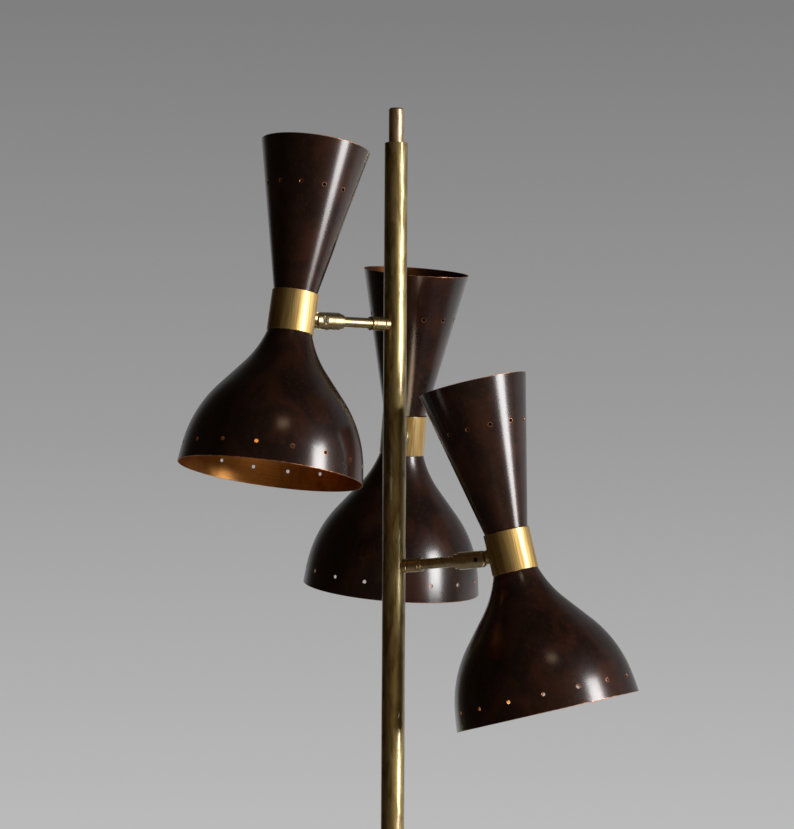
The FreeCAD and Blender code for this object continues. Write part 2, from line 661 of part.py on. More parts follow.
def socket_bridge():
    """The block inside the band that carries the shades, the stem and the tongue's stud."""
    block = ring(NECK_RADIUS, STEM_RADIUS, -BRIDGE_HALF, BRIDGE_HALF)
    return block.cut(along_x(rod(STUD_RADIUS, -2 * BAND_RADIUS, -BAND_RADIUS + STUD_DEPTH)))


def socket_stem():
    """The hollow threaded stem that clamps both lampholders and both shades to the bridge."""
    return ring(STEM_RADIUS, STEM_BORE, -STEM_HALF, STEM_HALF)


def lampholder(side):
    """One lampholder, upward for side 1 and downward for side -1, with a bore for the bulb's cap."""
    outline = [(STEM_RADIUS, HOLDER_START), (HOLDER_RADIUS, HOLDER_START),
               (HOLDER_RADIUS, HOLDER_END - HOLDER_CHAMFER), (HOLDER_RADIUS - HOLDER_CHAMFER, HOLDER_END),
               (HOLDER_BORE, HOLDER_END), (HOLDER_BORE, HOLDER_FLOOR), (STEM_RADIUS, HOLDER_FLOOR)]
    return facing(turned(outline), side)


def facing(shape, side):
    """The shape itself for side 1, or turned upside down for side -1."""
    copy = shape.copy()
    if side < 0:
        copy.rotate(Vector(0, 0, 0), Vector(1, 0, 0), 180)
    return copy


def candle_wall(inset):
    """The candle's glass from its neck to its tip, as edges, this far inside the outer face.

    A swell and a taper meet upright at the widest point, and the taper runs into a round tip.
    """
    swell_rise = CANDLE_WIDEST - BULB_NECK_START
    swell_width = CANDLE_RADIUS - BULB_NECK_RADIUS
    swell_round = (swell_width ** 2 + swell_rise ** 2) / (2 * swell_width)
    tip_centre = CANDLE_END - CANDLE_TIP_RADIUS
    taper_rise = tip_centre - CANDLE_WIDEST
    taper_round = ((CANDLE_RADIUS ** 2 + taper_rise ** 2 - CANDLE_TIP_RADIUS ** 2)
                   / (2 * (CANDLE_RADIUS - CANDLE_TIP_RADIUS)))
    tip_angle = math.atan2(taper_rise, taper_round - CANDLE_RADIUS)

    def on_arc(round_radius, centre, angle):
        reach = round_radius - inset
        return (centre[0] + reach * math.cos(angle), centre[1] + reach * math.sin(angle))

    swell_centre = (CANDLE_RADIUS - swell_round, CANDLE_WIDEST)
    neck_angle = -math.asin(swell_rise / (swell_round - inset))
    taper_centre = (CANDLE_RADIUS - taper_round, CANDLE_WIDEST)
    return [arc(*[on_arc(swell_round, swell_centre, angle) for angle in (neck_angle, neck_angle / 2, 0)]),
            arc(*[on_arc(taper_round, taper_centre, angle) for angle in (0, tip_angle / 2, tip_angle)]),
            arc(*[on_arc(CANDLE_TIP_RADIUS, (0, tip_centre), angle)
                  for angle in (tip_angle, (tip_angle + math.pi / 2) / 2, math.pi / 2)])]


def bulb_up():
    """The candle bulb in the cone: a cap, then thin glass swelling and narrowing to a round tip."""
    outer = candle_wall(0)
    inner = candle_wall(BULB_GLASS)
    tip = CANDLE_END - BULB_GLASS
    outer_neck = outer[0].firstVertex().Point
    inner_neck = inner[0].firstVertex().Point
    cap = [(outer_neck.x, outer_neck.z), (BULB_CAP_RADIUS, BULB_NECK_START),
           (BULB_CAP_RADIUS, BULB_CAP_START), (BULB_GLASS, BULB_CAP_START), (inner_neck.x, inner_neck.z)]
    edges = [line(start, end) for start, end in zip(cap, cap[1:])] + [line((0, tip), (0, CANDLE_END))]
    return turned_edges(Part.sortEdges(outer + inner + edges)[0])


def bulb_down():
    """The small globe bulb in the bell: the same cap and a round globe of thin glass."""
    join = GLOBE_CENTRE - math.sqrt(GLOBE_RADIUS ** 2 - BULB_NECK_RADIUS ** 2)
    inner_radius = GLOBE_RADIUS - BULB_GLASS
    inner_neck = BULB_NECK_RADIUS - 2 * BULB_GLASS
    inner_join = GLOBE_CENTRE - math.sqrt(inner_radius ** 2 - inner_neck ** 2)
    edges = [line((BULB_GLASS, BULB_CAP_START), (BULB_CAP_RADIUS, BULB_CAP_START)),
             line((BULB_CAP_RADIUS, BULB_CAP_START), (BULB_CAP_RADIUS, BULB_NECK_START)),
             line((BULB_CAP_RADIUS, BULB_NECK_START), (BULB_NECK_RADIUS, BULB_NECK_START)),
             line((BULB_NECK_RADIUS, BULB_NECK_START), (BULB_NECK_RADIUS, join)),
             arc((BULB_NECK_RADIUS, join), (GLOBE_RADIUS, GLOBE_CENTRE), (0, GLOBE_CENTRE + GLOBE_RADIUS)),
             line((0, GLOBE_CENTRE + GLOBE_RADIUS), (0, GLOBE_CENTRE + inner_radius)),
             arc((0, GLOBE_CENTRE + inner_radius), (inner_radius, GLOBE_CENTRE), (inner_neck, inner_join)),
             line((inner_neck, inner_join), (BULB_GLASS, BULB_CAP_START))]
    return facing(turned_edges(edges), -1)


# The lamp -----------------------------------------------------------------------------------------

def write_pole():
    """Writes the pieces of the foot and the pole."""
    write("foot_pad", foot_pad())
    write("foot_plate", foot_plate())
    write("foot_bolt", foot_bolt())
    write("foot_socket", foot_socket())
    write("cord_inlet", cord_inlet())
    write("pole_lower", pole_lower())
    write("pole_joiner", pole_joiner())
    write("pole_upper", pole_upper())
    write("grub_screws", *[grub_screw(height) for height in GRUB_HEIGHTS])
    write("pole_leads", *[pole_lead(index, head) for index, head in enumerate(HEADS.values())])


def write_plunger():
    """Writes the sprung plunger and what guides it."""
    write("top_bush", top_bush())
    write("spring_seat", spring_seat())
    write("plunger_spring", plunger_spring())
    write("plunger_rod", plunger_rod())
    write("plunger_stop", plunger_stop())
    write("tip_pad", tip_pad())


def write_arm_roots():
    """Writes the arm pieces that stay with the pole, three of each."""
    heads = list(HEADS.values())
    write("arm_bosses", *[arm_boss(head) for head in heads])
    write("arm_nipples", *[placed(arm_nipple(), arm_place(head)) for head in heads])
    write("saddle_washers", *[saddle_washer(head) for head in heads])
    write("arm_collars", *[placed(arm_collar(), arm_place(head)) for head in heads])
    write("collar_caps", *[placed(collar_cap(), arm_place(head)) for head in heads])


def write_head(name, head):
    """Writes one arm and its double shade."""
    fork = fork_place(head)
    write("arm_tube_" + name, placed(arm_tube(), fork))
    write("knuckle_fork_" + name, placed(knuckle_fork(), fork))
    write("pivot_screw_" + name, placed(pivot_screw(), fork))
    write("friction_washers_" + name, *[placed(friction_washer(side), fork) for side in (-1, 1)])
    shade = shade_place(head)
    write("tongue_" + name, placed(tongue(), shade))
    write("band_" + name, placed(band(), shade))
    write("cone_" + name, placed(cone(head), shade))
    write("bell_" + name, placed(bell(head), shade))
    write("socket_bridge_" + name, placed(socket_bridge(), shade))
    write("socket_stem_" + name, placed(socket_stem(), shade))
    write("lampholders_" + name, *[placed(lampholder(side), shade) for side in (-1, 1)])
    write("bulb_up_" + name, placed(bulb_up(), shade))
    write("bulb_down_" + name, placed(bulb_down(), shade))
    pivot = arm_root(head) + fork_axes(head)[0] * PIVOT_REACH
    print(name, "arm axis", [round(value, 5) for value in fork_axes(head)[0]],
          "pin axis", [round(value, 5) for value in fork_axes(head)[1]],
          "pivot", [round(value, 3) for value in pivot], "band", [round(value, 3) for value in shade.Base],
          "shade axis", [round(value, 5) for value in shade.Rotation.multVec(UP)])


write_pole()
write_plunger()
write_arm_roots()
for head_name, head_setting in HEADS.items():
    write_head(head_name, head_setting)
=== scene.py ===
"""The tension pole lamp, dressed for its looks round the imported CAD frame.

A brass pole is held between floor and ceiling by a sprung plunger at its top. Three double shades
stand round it on swivelling arms: each is a bell below and a cone above, joined at a brushed brass
band. Sizes in the classes are millimetres. Meshes are made in metres in the lamp's own frame, with
+Z up and the origin under the foot, and the photograph's eye looks along +Y.
"""

import json
import logging
import math
from dataclasses import dataclass, field, replace
from enum import Enum, IntEnum
from typing import Any, Callable, Sequence

import bmesh
import bpy
import numpy as np
from mathutils import Matrix, Vector

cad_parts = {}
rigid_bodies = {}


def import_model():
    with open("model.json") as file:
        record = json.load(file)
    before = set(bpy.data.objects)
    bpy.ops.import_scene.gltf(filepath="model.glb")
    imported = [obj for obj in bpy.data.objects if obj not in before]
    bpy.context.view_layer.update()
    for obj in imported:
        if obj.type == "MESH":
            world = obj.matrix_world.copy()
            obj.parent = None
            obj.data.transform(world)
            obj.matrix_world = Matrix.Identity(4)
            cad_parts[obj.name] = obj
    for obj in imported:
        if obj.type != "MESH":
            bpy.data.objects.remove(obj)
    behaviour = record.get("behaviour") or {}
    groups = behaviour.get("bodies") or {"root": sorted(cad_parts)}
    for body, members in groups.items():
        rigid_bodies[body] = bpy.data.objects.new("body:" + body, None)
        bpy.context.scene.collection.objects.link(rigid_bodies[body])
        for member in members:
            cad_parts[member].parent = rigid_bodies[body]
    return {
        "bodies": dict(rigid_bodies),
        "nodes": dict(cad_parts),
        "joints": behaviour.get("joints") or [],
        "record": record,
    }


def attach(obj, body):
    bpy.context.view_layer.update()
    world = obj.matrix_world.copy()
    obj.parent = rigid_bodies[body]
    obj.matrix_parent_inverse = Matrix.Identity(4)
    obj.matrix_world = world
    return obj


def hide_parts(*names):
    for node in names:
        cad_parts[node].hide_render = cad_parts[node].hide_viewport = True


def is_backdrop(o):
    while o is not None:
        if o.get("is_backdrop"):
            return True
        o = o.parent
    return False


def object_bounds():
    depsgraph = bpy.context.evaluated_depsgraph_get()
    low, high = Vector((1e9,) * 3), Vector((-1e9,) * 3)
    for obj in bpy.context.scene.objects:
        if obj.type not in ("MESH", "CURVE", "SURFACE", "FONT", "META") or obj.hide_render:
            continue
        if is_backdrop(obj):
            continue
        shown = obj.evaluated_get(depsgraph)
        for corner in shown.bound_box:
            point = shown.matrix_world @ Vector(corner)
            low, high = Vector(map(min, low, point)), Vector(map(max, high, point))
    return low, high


LOG = logging.getLogger("tension_pole_lamp")

MM = 0.001
UP = Vector((0, 0, 1))
# Points nearer than this many metres are one point.
WELD = 1e-6
# An edge of a finished mesh is sharp past CREASE, and one of a CAD node is eased past EASED_PAST. Its
# faces that meet at less than FLAT_WITHIN are one face. All three are in degrees.
CREASE = 35.0
EASED_PAST = 30.0
FLAT_WITHIN = 0.5
# Circles of large and of small turned pieces have these many facets.
LARGE_ROUND = 128
SMALL_ROUND = 64
OWN_PLACE = "own_place"
ZONE = "zone"

Point = tuple[float, float]
Corner = tuple[float, float, float]
Triple = tuple[float, float, float]
GridVertex = Callable[[int, int], bmesh.types.BMVert]


# Colours and nodes --------------------------------------------------------------------------------

def linear(shade: str) -> tuple[float, float, float, float]:
    """Turns an sRGB hex colour into the linear colour that Blender's sockets take.

    Args:
        shade: six hex digits, such as "C8A050".

    Returns:
        Linear red, green, blue and an alpha of 1.
    """
    channels = [int(shade[start:start + 2], 16) / 255 for start in (0, 2, 4)]
    bright = [((c + 0.055) / 1.055) ** 2.4 if c > 0.04045 else c / 12.92 for c in channels]
    return (bright[0], bright[1], bright[2], 1.0)


def add_node(tree: bpy.types.NodeTree, kind: str, settings: dict[str, Any] | None = None,
             inputs: dict[str | int, Any] | None = None) -> bpy.types.Node:
    """Adds one node with its settings and links.

    Args:
        tree: the tree that gets the node.
        kind: the node's type name.
        settings: the node's own properties.
        inputs: for each input socket, by name or number, its value or the output linked to it.

    Returns:
        The new node.
    """
    node = tree.nodes.new(kind)
    for name, value in (settings or {}).items():
        setattr(node, name, value)
    for key, value in (inputs or {}).items():
        if isinstance(value, bpy.types.NodeSocket):
            tree.links.new(value, node.inputs[key])
        else:
            node.inputs[key].default_value = value
    return node


# A noise pattern's marks begin and are full at these values, and their share runs from none to full.
MARKS: Point = (0.35, 0.7)
FULL: Point = (0.0, 1.0)
FINE_MARKS: Point = (0.3, 0.7)
# The dirt that lies in a metal's lines.
LINE_DIRT = "1A1208"


class PatternSpace(Enum):
    """Where a finish's pattern is pinned."""

    LAMP = "the lamp's own coordinates"
    PIECE = "the piece's own frame, kept on its mesh"


@dataclass(frozen=True)
class Finish:
    """What every finish has: its name and the space its pattern is pinned to."""

    name: str
    space: PatternSpace = PatternSpace.PIECE

    def material(self) -> bpy.types.Material:
        """Builds the finish as a node material."""
        made = bpy.data.materials.new(self.name)
        made.use_nodes = True
        tree = made.node_tree
        tree.nodes.clear()
        if self.space is PatternSpace.PIECE:
            place = add_node(tree, "ShaderNodeAttribute", {"attribute_name": OWN_PLACE}).outputs["Vector"]
        else:
            place = add_node(tree, "ShaderNodeTexCoord").outputs["Object"]
        add_node(tree, "ShaderNodeOutputMaterial", inputs={"Surface": self.surface(tree, place)})
        return made

    def surface(self, tree: bpy.types.NodeTree, place: bpy.types.NodeSocket) -> bpy.types.NodeSocket:
        """Builds the finish's shader.

        Args:
            tree: the material's tree.
            place: the output that gives a point's place in metres.

        Returns:
            The shader's output.
        """
        raise NotImplementedError

    @staticmethod
    def grain(tree: bpy.types.NodeTree, place: bpy.types.NodeSocket, size: Triple, detail: float = 2.0,
              distortion: float = 0.0) -> bpy.types.NodeSocket:
        """A noise pattern whose marks have a real size.

        Args:
            tree: the material's tree.
            place: the output that gives a point's place in metres.
            size: the size of one mark along each axis, in millimetres.
            detail: how many finer layers lie over it.
            distortion: how far its marks are pushed out of line.

        Returns:
            The pattern's value, about 0 to 1.
        """
        scale = [1 / (length * MM) for length in size]
        scaled = add_node(tree, "ShaderNodeVectorMath", {"operation": "MULTIPLY"}, {0: place, 1: scale})
        noise = add_node(tree, "ShaderNodeTexNoise", inputs={
            "Vector": scaled.outputs[0], "Scale": 1.0, "Detail": detail, "Distortion": distortion})
        return noise.outputs[0]

    @staticmethod
    def spread(tree: bpy.types.NodeTree, value: bpy.types.NodeSocket, start: Point,
               end: Point) -> bpy.types.NodeSocket:
        """Maps a value from the range start to the range end, smoothly and held at its ends."""
        return add_node(tree, "ShaderNodeMapRange", {"interpolation_type": "SMOOTHSTEP"}, {
            "Value": value, "From Min": start[0], "From Max": start[1],
            "To Min": end[0], "To Max": end[1]}).outputs[0]

    @staticmethod
    def blended(tree: bpy.types.NodeTree, share: bpy.types.NodeSocket, first: Any,
                second: Any) -> bpy.types.NodeSocket:
        """Mixes two colours by a share, which is 0 for the first and 1 for the second."""
        return add_node(tree, "ShaderNodeMix", {"data_type": "RGBA"},
                        {0: share, 6: first, 7: second}).outputs[2]


@dataclass(frozen=True, kw_only=True)
class WorkedMetal(Finish):
    """Metal with the marks of its working and its age.

    Lines lie along the way it was drawn, turned or brushed, age lies on it in patches, and a slow
    wave in the surface bends what it mirrors.
    """

    bright: str
    aged: str
    roughness: float
    aged_roughness: float
    line_size: Triple
    line_depth: float
    line_tint: float
    patch_size: Triple
    patch_share: Point = (0.45, 0.75)
    wave_size: Triple = (9.0, 9.0, 30.0)
    wave_depth: float = 0.0
    drawn_out: float = 0.0
    lacquer: float = 0.0
    lacquer_roughness: float = 0.2

    def surface(self, tree: bpy.types.NodeTree, place: bpy.types.NodeSocket) -> bpy.types.NodeSocket:
        """Builds bright metal, duller where it has aged, with its lines in relief under its lacquer."""
        lines = self.grain(tree, place, self.line_size, detail=3.0)
        patches = self.spread(tree, self.grain(tree, place, self.patch_size, detail=4.0, distortion=0.6),
                              self.patch_share, FULL)
        aged = self.blended(tree, patches, linear(self.bright), linear(self.aged))
        dark_line = self.spread(tree, lines, MARKS, (0.0, self.line_tint))
        colour = self.blended(tree, dark_line, aged, linear(LINE_DIRT))
        dull = self.spread(tree, patches, FULL, (self.roughness, self.aged_roughness))
        waves = self.grain(tree, place, self.wave_size, detail=1.0)
        waved = add_node(tree, "ShaderNodeBump", inputs={
            "Strength": 1.0, "Distance": self.wave_depth * MM, "Height": waves})
        relief = add_node(tree, "ShaderNodeBump", inputs={
            "Strength": 1.0, "Distance": self.line_depth * MM, "Height": lines,
            "Normal": waved.outputs[0]})
        round_way = add_node(tree, "ShaderNodeTangent", {"direction_type": "RADIAL", "axis": "Z"})
        return add_node(tree, "ShaderNodeBsdfPrincipled", inputs={
            "Base Color": colour, "Metallic": 1.0, "Roughness": dull, "Normal": relief.outputs[0],
            "Anisotropic": self.drawn_out, "Tangent": round_way.outputs[0],
            "Coat Weight": self.lacquer, "Coat Roughness": self.lacquer_roughness,
            "Coat Normal": waved.outputs[0]}).outputs[0]


@dataclass(frozen=True)
class PatinaLacquer(Finish):
    """Brown patina on spun brass under clear lacquer.

    The eye gets a nearly black brown with slow warm clouds and fine mottling, a soft grey gloss from
    the lacquer, and faint rings from the spinning.
    """

    ground: str = "1D0F0B"
    cloud: str = "361C12"
    ember: str = "54301E"
    metal_share: float = 0.3
    roughness: float = 0.42
    gloss: float = 0.1
    coat_roughness: float = 0.2
    coat_ior: float = 1.55
    cloud_size: Triple = (34.0, 34.0, 46.0)
    mottle_size: Triple = (4.0, 4.0, 5.5)
    mottle_marks: Point = (0.5, 0.85)
    mottle_share: float = 0.3
    mottle_dulling: float = 0.12
    ring_size: Triple = (60.0, 60.0, 1.6)
    ring_depth: float = 0.004
    wave_size: Triple = (26.0, 26.0, 34.0)
    wave_depth: float = 0.02

    def surface(self, tree: bpy.types.NodeTree, place: bpy.types.NodeSocket) -> bpy.types.NodeSocket:
        """Builds the clouded brown under its coat."""
        clouds = self.spread(tree, self.grain(tree, place, self.cloud_size, detail=3.0, distortion=0.8),
                             MARKS, FULL)
        brown = self.blended(tree, clouds, linear(self.ground), linear(self.cloud))
        mottle = self.spread(tree, self.grain(tree, place, self.mottle_size, detail=4.0),
                             self.mottle_marks, (0.0, self.mottle_share))
        colour = self.blended(tree, mottle, brown, linear(self.ember))
        dull = self.spread(tree, mottle, (0.0, self.mottle_share),
                           (self.roughness, self.roughness + self.mottle_dulling))
        waved = add_node(tree, "ShaderNodeBump", inputs={
            "Strength": 1.0, "Distance": self.wave_depth * MM,
            "Height": self.grain(tree, place, self.wave_size, detail=1.0)})
        rings = add_node(tree, "ShaderNodeBump", inputs={
            "Strength": 1.0, "Distance": self.ring_depth * MM,
            "Height": self.grain(tree, place, self.ring_size), "Normal": waved.outputs[0]})
        return add_node(tree, "ShaderNodeBsdfPrincipled", inputs={
            "Base Color": colour, "Metallic": self.metal_share, "Roughness": dull,
            "Specular IOR Level": self.gloss, "Normal": rings.outputs[0], "Coat Weight": 1.0,
            "Coat Roughness": self.coat_roughness, "Coat IOR": self.coat_ior,
            "Coat Normal": waved.outputs[0]}).outputs[0]


@dataclass(frozen=True, kw_only=True)
class MouldedBody(Finish):
    """A moulded or cast body that isn't metal: one colour with a slow variation and a fine grain."""

    colour: str
    variation: str
    roughness: float
    rough_spread: float = 0.1
    grain_size: Triple = (1.2, 1.2, 1.2)
    grain_depth: float = 0.01
    patch_size: Triple = (9.0, 9.0, 9.0)

    def surface(self, tree: bpy.types.NodeTree, place: bpy.types.NodeSocket) -> bpy.types.NodeSocket:
        """Builds the body's colour and grain."""
        grain = self.grain(tree, place, self.grain_size, detail=3.0)
        patches = self.spread(tree, self.grain(tree, place, self.patch_size), MARKS, FULL)
        relief = add_node(tree, "ShaderNodeBump", inputs={
            "Strength": 1.0, "Distance": self.grain_depth * MM, "Height": grain})
        dull = self.spread(tree, grain, FINE_MARKS, (self.roughness, self.roughness + self.rough_spread))
        return add_node(tree, "ShaderNodeBsdfPrincipled", inputs={
            "Base Color": self.blended(tree, patches, linear(self.colour), linear(self.variation)),
            "Roughness": dull, "Normal": relief.outputs[0]}).outputs[0]


# Every finish on the lamp. Spacings are the real ones unless the comment says otherwise.

# Drawn brass tube, dressed satin and lacquered long ago: a soft cream streak and olive-brown age in
# patches. Its slow ripple is drawn deeper than a real tube's, so that the streak's edges waver.
POLE_BRASS = WorkedMetal("drawn_brass_tube", bright="C4B27C", aged="857140", roughness=0.44,
                         aged_roughness=0.5, line_size=(0.5, 0.5, 90.0), line_depth=0.001,
                         line_tint=0.25, patch_size=(7.0, 7.0, 30.0), patch_share=(0.38, 0.66),
                         wave_size=(9.0, 9.0, 34.0), wave_depth=0.4, lacquer=1.0,
                         lacquer_roughness=0.16)
# The plunger's rod, rubbed dull where it slides: peach-brown and soft, with marks along it.
ROD_BRASS = WorkedMetal("rubbed_brass_rod", bright="DDBE98", aged="8A6B48", roughness=0.46,
                        aged_roughness=0.52, line_size=(0.4, 0.4, 60.0), line_depth=0.002,
                        line_tint=0.3, patch_size=(6.0, 6.0, 18.0), lacquer=0.6)
# Turned and satin-polished brass of the small fittings: fine rings round Z and a soft yellow gloss.
TURNED_BRASS = WorkedMetal("turned_satin_brass", bright="C4AE80", aged="8F7348", roughness=0.34,
                           aged_roughness=0.42, line_size=(40.0, 40.0, 0.35), line_depth=0.0015,
                           line_tint=0.12, patch_size=(7.0, 7.0, 7.0), patch_share=(0.5, 0.8),
                           lacquer=1.0)
# The same turned brass on the arms, whose meshes lie along X: its rings go round X.
LAID_BRASS = replace(TURNED_BRASS, name="turned_satin_brass_along", line_size=(0.35, 40.0, 40.0))
# The bands are brushed along their height: fine upright lines, and a wide golden glow across them. The
# lines are drawn at 0.7 mm, coarser than real ones, so that they still show from four metres.
BRUSHED_BRASS = WorkedMetal("brushed_brass_band", bright="C9A86A", aged="A1803F", roughness=0.4,
                            aged_roughness=0.46, line_size=(0.7, 0.7, 60.0), line_depth=0.01,
                            line_tint=0.4, patch_size=(5.0, 5.0, 60.0), patch_share=(0.4, 0.7),
                            drawn_out=0.75, lacquer=0.9, lacquer_roughness=0.22)
# The shades' outer face: nearly black, with warm brown clouds under a clear, softly mirroring coat.
SHADE_LACQUER = PatinaLacquer("patina_lacquer_shade")
# Inside the bells the spun brass is only lacquered: it glows orange-brown from its own reflections.
BELL_INSIDE = WorkedMetal("lacquered_brass_inside", bright="D0924F", aged="9C6533", roughness=0.36,
                          aged_roughness=0.48, line_size=(50.0, 50.0, 1.4), line_depth=0.004,
                          line_tint=0.2, patch_size=(18.0, 18.0, 26.0), patch_share=(0.4, 0.75))
# Painted shade: the cones open upward and are dimmer inside, so the bells' inside brass is made a dull dark
# brown.
CONE_INSIDE_PAINTED_SHADE = replace(BELL_INSIDE, name="dulled_brass_inside", bright="5E3C22", aged="35200F",
                      roughness=0.52, aged_roughness=0.6)
# Rims and hole edges are bare metal with a copper-red tone where the patina was rubbed off.
BARE_EDGE = WorkedMetal("bare_copper_edge", bright="C98F6C", aged="7E4A30", roughness=0.44,
                        aged_roughness=0.55, line_size=(6.0, 6.0, 6.0), line_depth=0.001,
                        line_tint=0.2, patch_size=(5.0, 5.0, 5.0), patch_share=(0.35, 0.7))
# Zinc-plated steel of the inner hardware: cool grey with cloudy plating.
PLATED_STEEL = WorkedMetal("zinc_plated_steel", PatternSpace.LAMP, bright="B9BDC0", aged="8E9296",
                           roughness=0.3, aged_roughness=0.42, line_size=(0.8, 0.8, 0.8),
                           line_depth=0.001, line_tint=0.1, patch_size=(4.0, 4.0, 4.0))
# Drawn spring wire, oiled and nearly black in its hollows.
SPRING_STEEL = WorkedMetal("oiled_spring_steel", PatternSpace.LAMP, bright="7C7F84", aged="3E4043",
                           roughness=0.26, aged_roughness=0.38, line_size=(1.0, 1.0, 0.5),
                           line_depth=0.001, line_tint=0.2, patch_size=(3.0, 3.0, 6.0))
# The pivot screws are blackened: a warm dark grey with small worn patches.
DARK_SCREW = WorkedMetal("blackened_screw", PatternSpace.LAMP, bright="5C4A36", aged="2C2620",
                         roughness=0.3, aged_roughness=0.42, line_size=(0.6, 0.6, 0.6),
                         line_depth=0.002, line_tint=0.2, patch_size=(2.0, 2.0, 2.0),
                         patch_share=(0.3, 0.6))
# Moulded phenolic of the lampholders: glossy black-brown with a faint marbling.
PHENOLIC = MouldedBody("moulded_phenolic", colour="14100D", variation="241A13", roughness=0.22)
# The inlet's moulded bush: satin black with a faint grain.
BLACK_NYLON = MouldedBody("moulded_black_nylon", PatternSpace.LAMP, colour="17171A",
                          variation="202024", roughness=0.42)
# Leads in black woven sleeves: matt, with a fine rough relief in place of the weave.
LEAD_SLEEVE = MouldedBody("woven_lead_sleeve", PatternSpace.LAMP, colour="1A1A1B", variation="2A2A2B",
                          roughness=0.75, grain_size=(0.6, 0.6, 0.9), grain_depth=0.12)
# Pressed felt under the foot: matt and hairy.
FELT = MouldedBody("pressed_felt", colour="2A2E27", variation="3A3F35", roughness=0.9,
                   grain_size=(0.7, 0.7, 0.7), grain_depth=0.25, patch_size=(12.0, 12.0, 3.0))
# Nitrile rubber of the ceiling pad: dull black.
RUBBER = MouldedBody("moulded_rubber", colour="1B1A19", variation="272523", roughness=0.6,
                     grain_size=(0.5, 0.5, 0.5), grain_depth=0.03)
# Opal bulbs: glass with a white inner coating, smooth and softly uneven.
OPAL_GLASS = MouldedBody("opal_coated_glass", colour="EFE9DC", variation="E4DCCB", roughness=0.12,
                         rough_spread=0.05, grain_size=(14.0, 14.0, 14.0), grain_depth=0.004,
                         patch_size=(20.0, 20.0, 20.0))


# Meshes -------------------------------------------------------------------------------------------

def rounded(outline: Sequence[Corner], facets: int = 4, hold: float = 0.2) -> list[Point]:
    """Rounds the corners of a closed outline.

    Args:
        outline: the corners in order, as (radius, height, round).
        facets: the flats along each round.
        hold: how far past a round the sides are held flat, so that their shading stays even.

    Returns:
        The outline's points as (radius, height).
    """
    points: list[Point] = []
    for index, (radius, height, fillet) in enumerate(outline):
        here = Vector((radius, height))
        if fillet <= 0:
            points.append((radius, height))
            continue
        before = Vector(outline[index - 1][:2]) - here
        after = Vector(outline[(index + 1) % len(outline)][:2]) - here
        half = before.angle(after) / 2
        cut = fillet / math.tan(half)
        before.normalize()
        after.normalize()
        centre = here + (before + after).normalized() * (fillet / math.sin(half))
        first = (here + before * cut - centre).normalized()
        last = (here + after * cut - centre).normalized()
        points.append(tuple(here + before * (cut + hold)))
        points += [tuple(centre + first.slerp(last, step / facets) * fillet) for step in range(facets + 1)]
        points.append(tuple(here + after * (cut + hold)))
    return points


def turned(outline: Sequence[Point], steps: int) -> bmesh.types.BMesh:
    """Turns a closed outline about Z into a closed solid.

    Args:
        outline: (radius, height) points in millimetres, in order.
        steps: the facets round the axis.

    Returns:
        The solid, in metres.
    """
    solid = bmesh.new()
    angles = [2 * math.pi * step / steps for step in range(steps)]
    rows = []
    for radius, height in outline:
        around = angles if radius > WELD else angles[:1]
        rows.append([solid.verts.new((radius * MM * math.cos(angle), radius * MM * math.sin(angle),
                                      height * MM)) for angle in around])
    for row, after in zip(rows, rows[1:] + rows[:1]):
        for step in range(steps):
            corners = [row[step % len(row)], row[(step + 1) % len(row)],
                       after[(step + 1) % len(after)], after[step % len(after)]]
            corners = list(dict.fromkeys(corners))
            if len(corners) > 2:
                solid.faces.new(corners)
    bmesh.ops.remove_doubles(solid, verts=solid.verts, dist=WELD)
    bmesh.ops.recalc_face_normals(solid, faces=solid.faces)
    return solid


def keep_own_place(mesh: bpy.types.Mesh) -> None:
    """Keeps each point's place in the piece's own frame as an attribute, which its finish reads."""
    own = np.empty(len(mesh.vertices) * 3, np.float32)
    mesh.vertices.foreach_get("co", own)
    mesh.attributes.new(OWN_PLACE, "FLOAT_VECTOR", "POINT").data.foreach_set("vector", own)


def settled(source: bmesh.types.BMesh | bpy.types.Mesh, name: str, place: Matrix) -> bpy.types.Mesh:
    """Moves a mesh from its own frame to its place on the lamp, with its creases kept sharp.

    Args:
        source: the mesh in its own frame.
        name: the finished mesh's name.
        place: the frame's place on the lamp.

    Returns:
        The finished mesh.
    """
    if isinstance(source, bmesh.types.BMesh):
        mesh = bpy.data.meshes.new(name)
        source.to_mesh(mesh)
        source.free()
    else:
        mesh = source
        mesh.name = name
    keep_own_place(mesh)
    mesh.transform(place)
    mesh.shade_smooth()
    mesh.set_sharp_from_angle(angle=math.radians(CREASE))
    return mesh


def evaluated(carrier: bpy.types.Object) -> bpy.types.Mesh:
    """Turns an object with modifiers into a plain mesh, and removes the object.

    Args:
        carrier: the object, linked to the scene.

    Returns:
        The mesh that its modifiers make.
    """
    bpy.context.view_layer.update()
    graph = bpy.context.evaluated_depsgraph_get()
    mesh = bpy.data.meshes.new_from_object(carrier.evaluated_get(graph), depsgraph=graph)
    bpy.data.objects.remove(carrier)
    return mesh


def carrier_of(source: bmesh.types.BMesh, name: str) -> bpy.types.Object:
    """Puts a working mesh on a linked object of its own, for modifiers to work on."""
    mesh = bpy.data.meshes.new(name)
    source.to_mesh(mesh)
    source.free()
    carrier = bpy.data.objects.new(name, mesh)
    bpy.context.scene.collection.objects.link(carrier)
    return carrier


def axes_matrix(origin: Vector, along: Vector, across: Vector, up: Vector) -> Matrix:
    """The place of a frame with this origin in millimetres and these axes."""
    matrix = Matrix((along, across, up)).transposed().to_4x4()
    matrix.translation = origin * MM
    return matrix


# Turns a piece that was turned about Z so that its axis lies along X.
LAID_ALONG = Matrix.Rotation(math.radians(90), 4, "Y")
UPSIDE_DOWN = Matrix.Rotation(math.pi, 4, "X")


# Geometry Nodes -----------------------------------------------------------------------------------

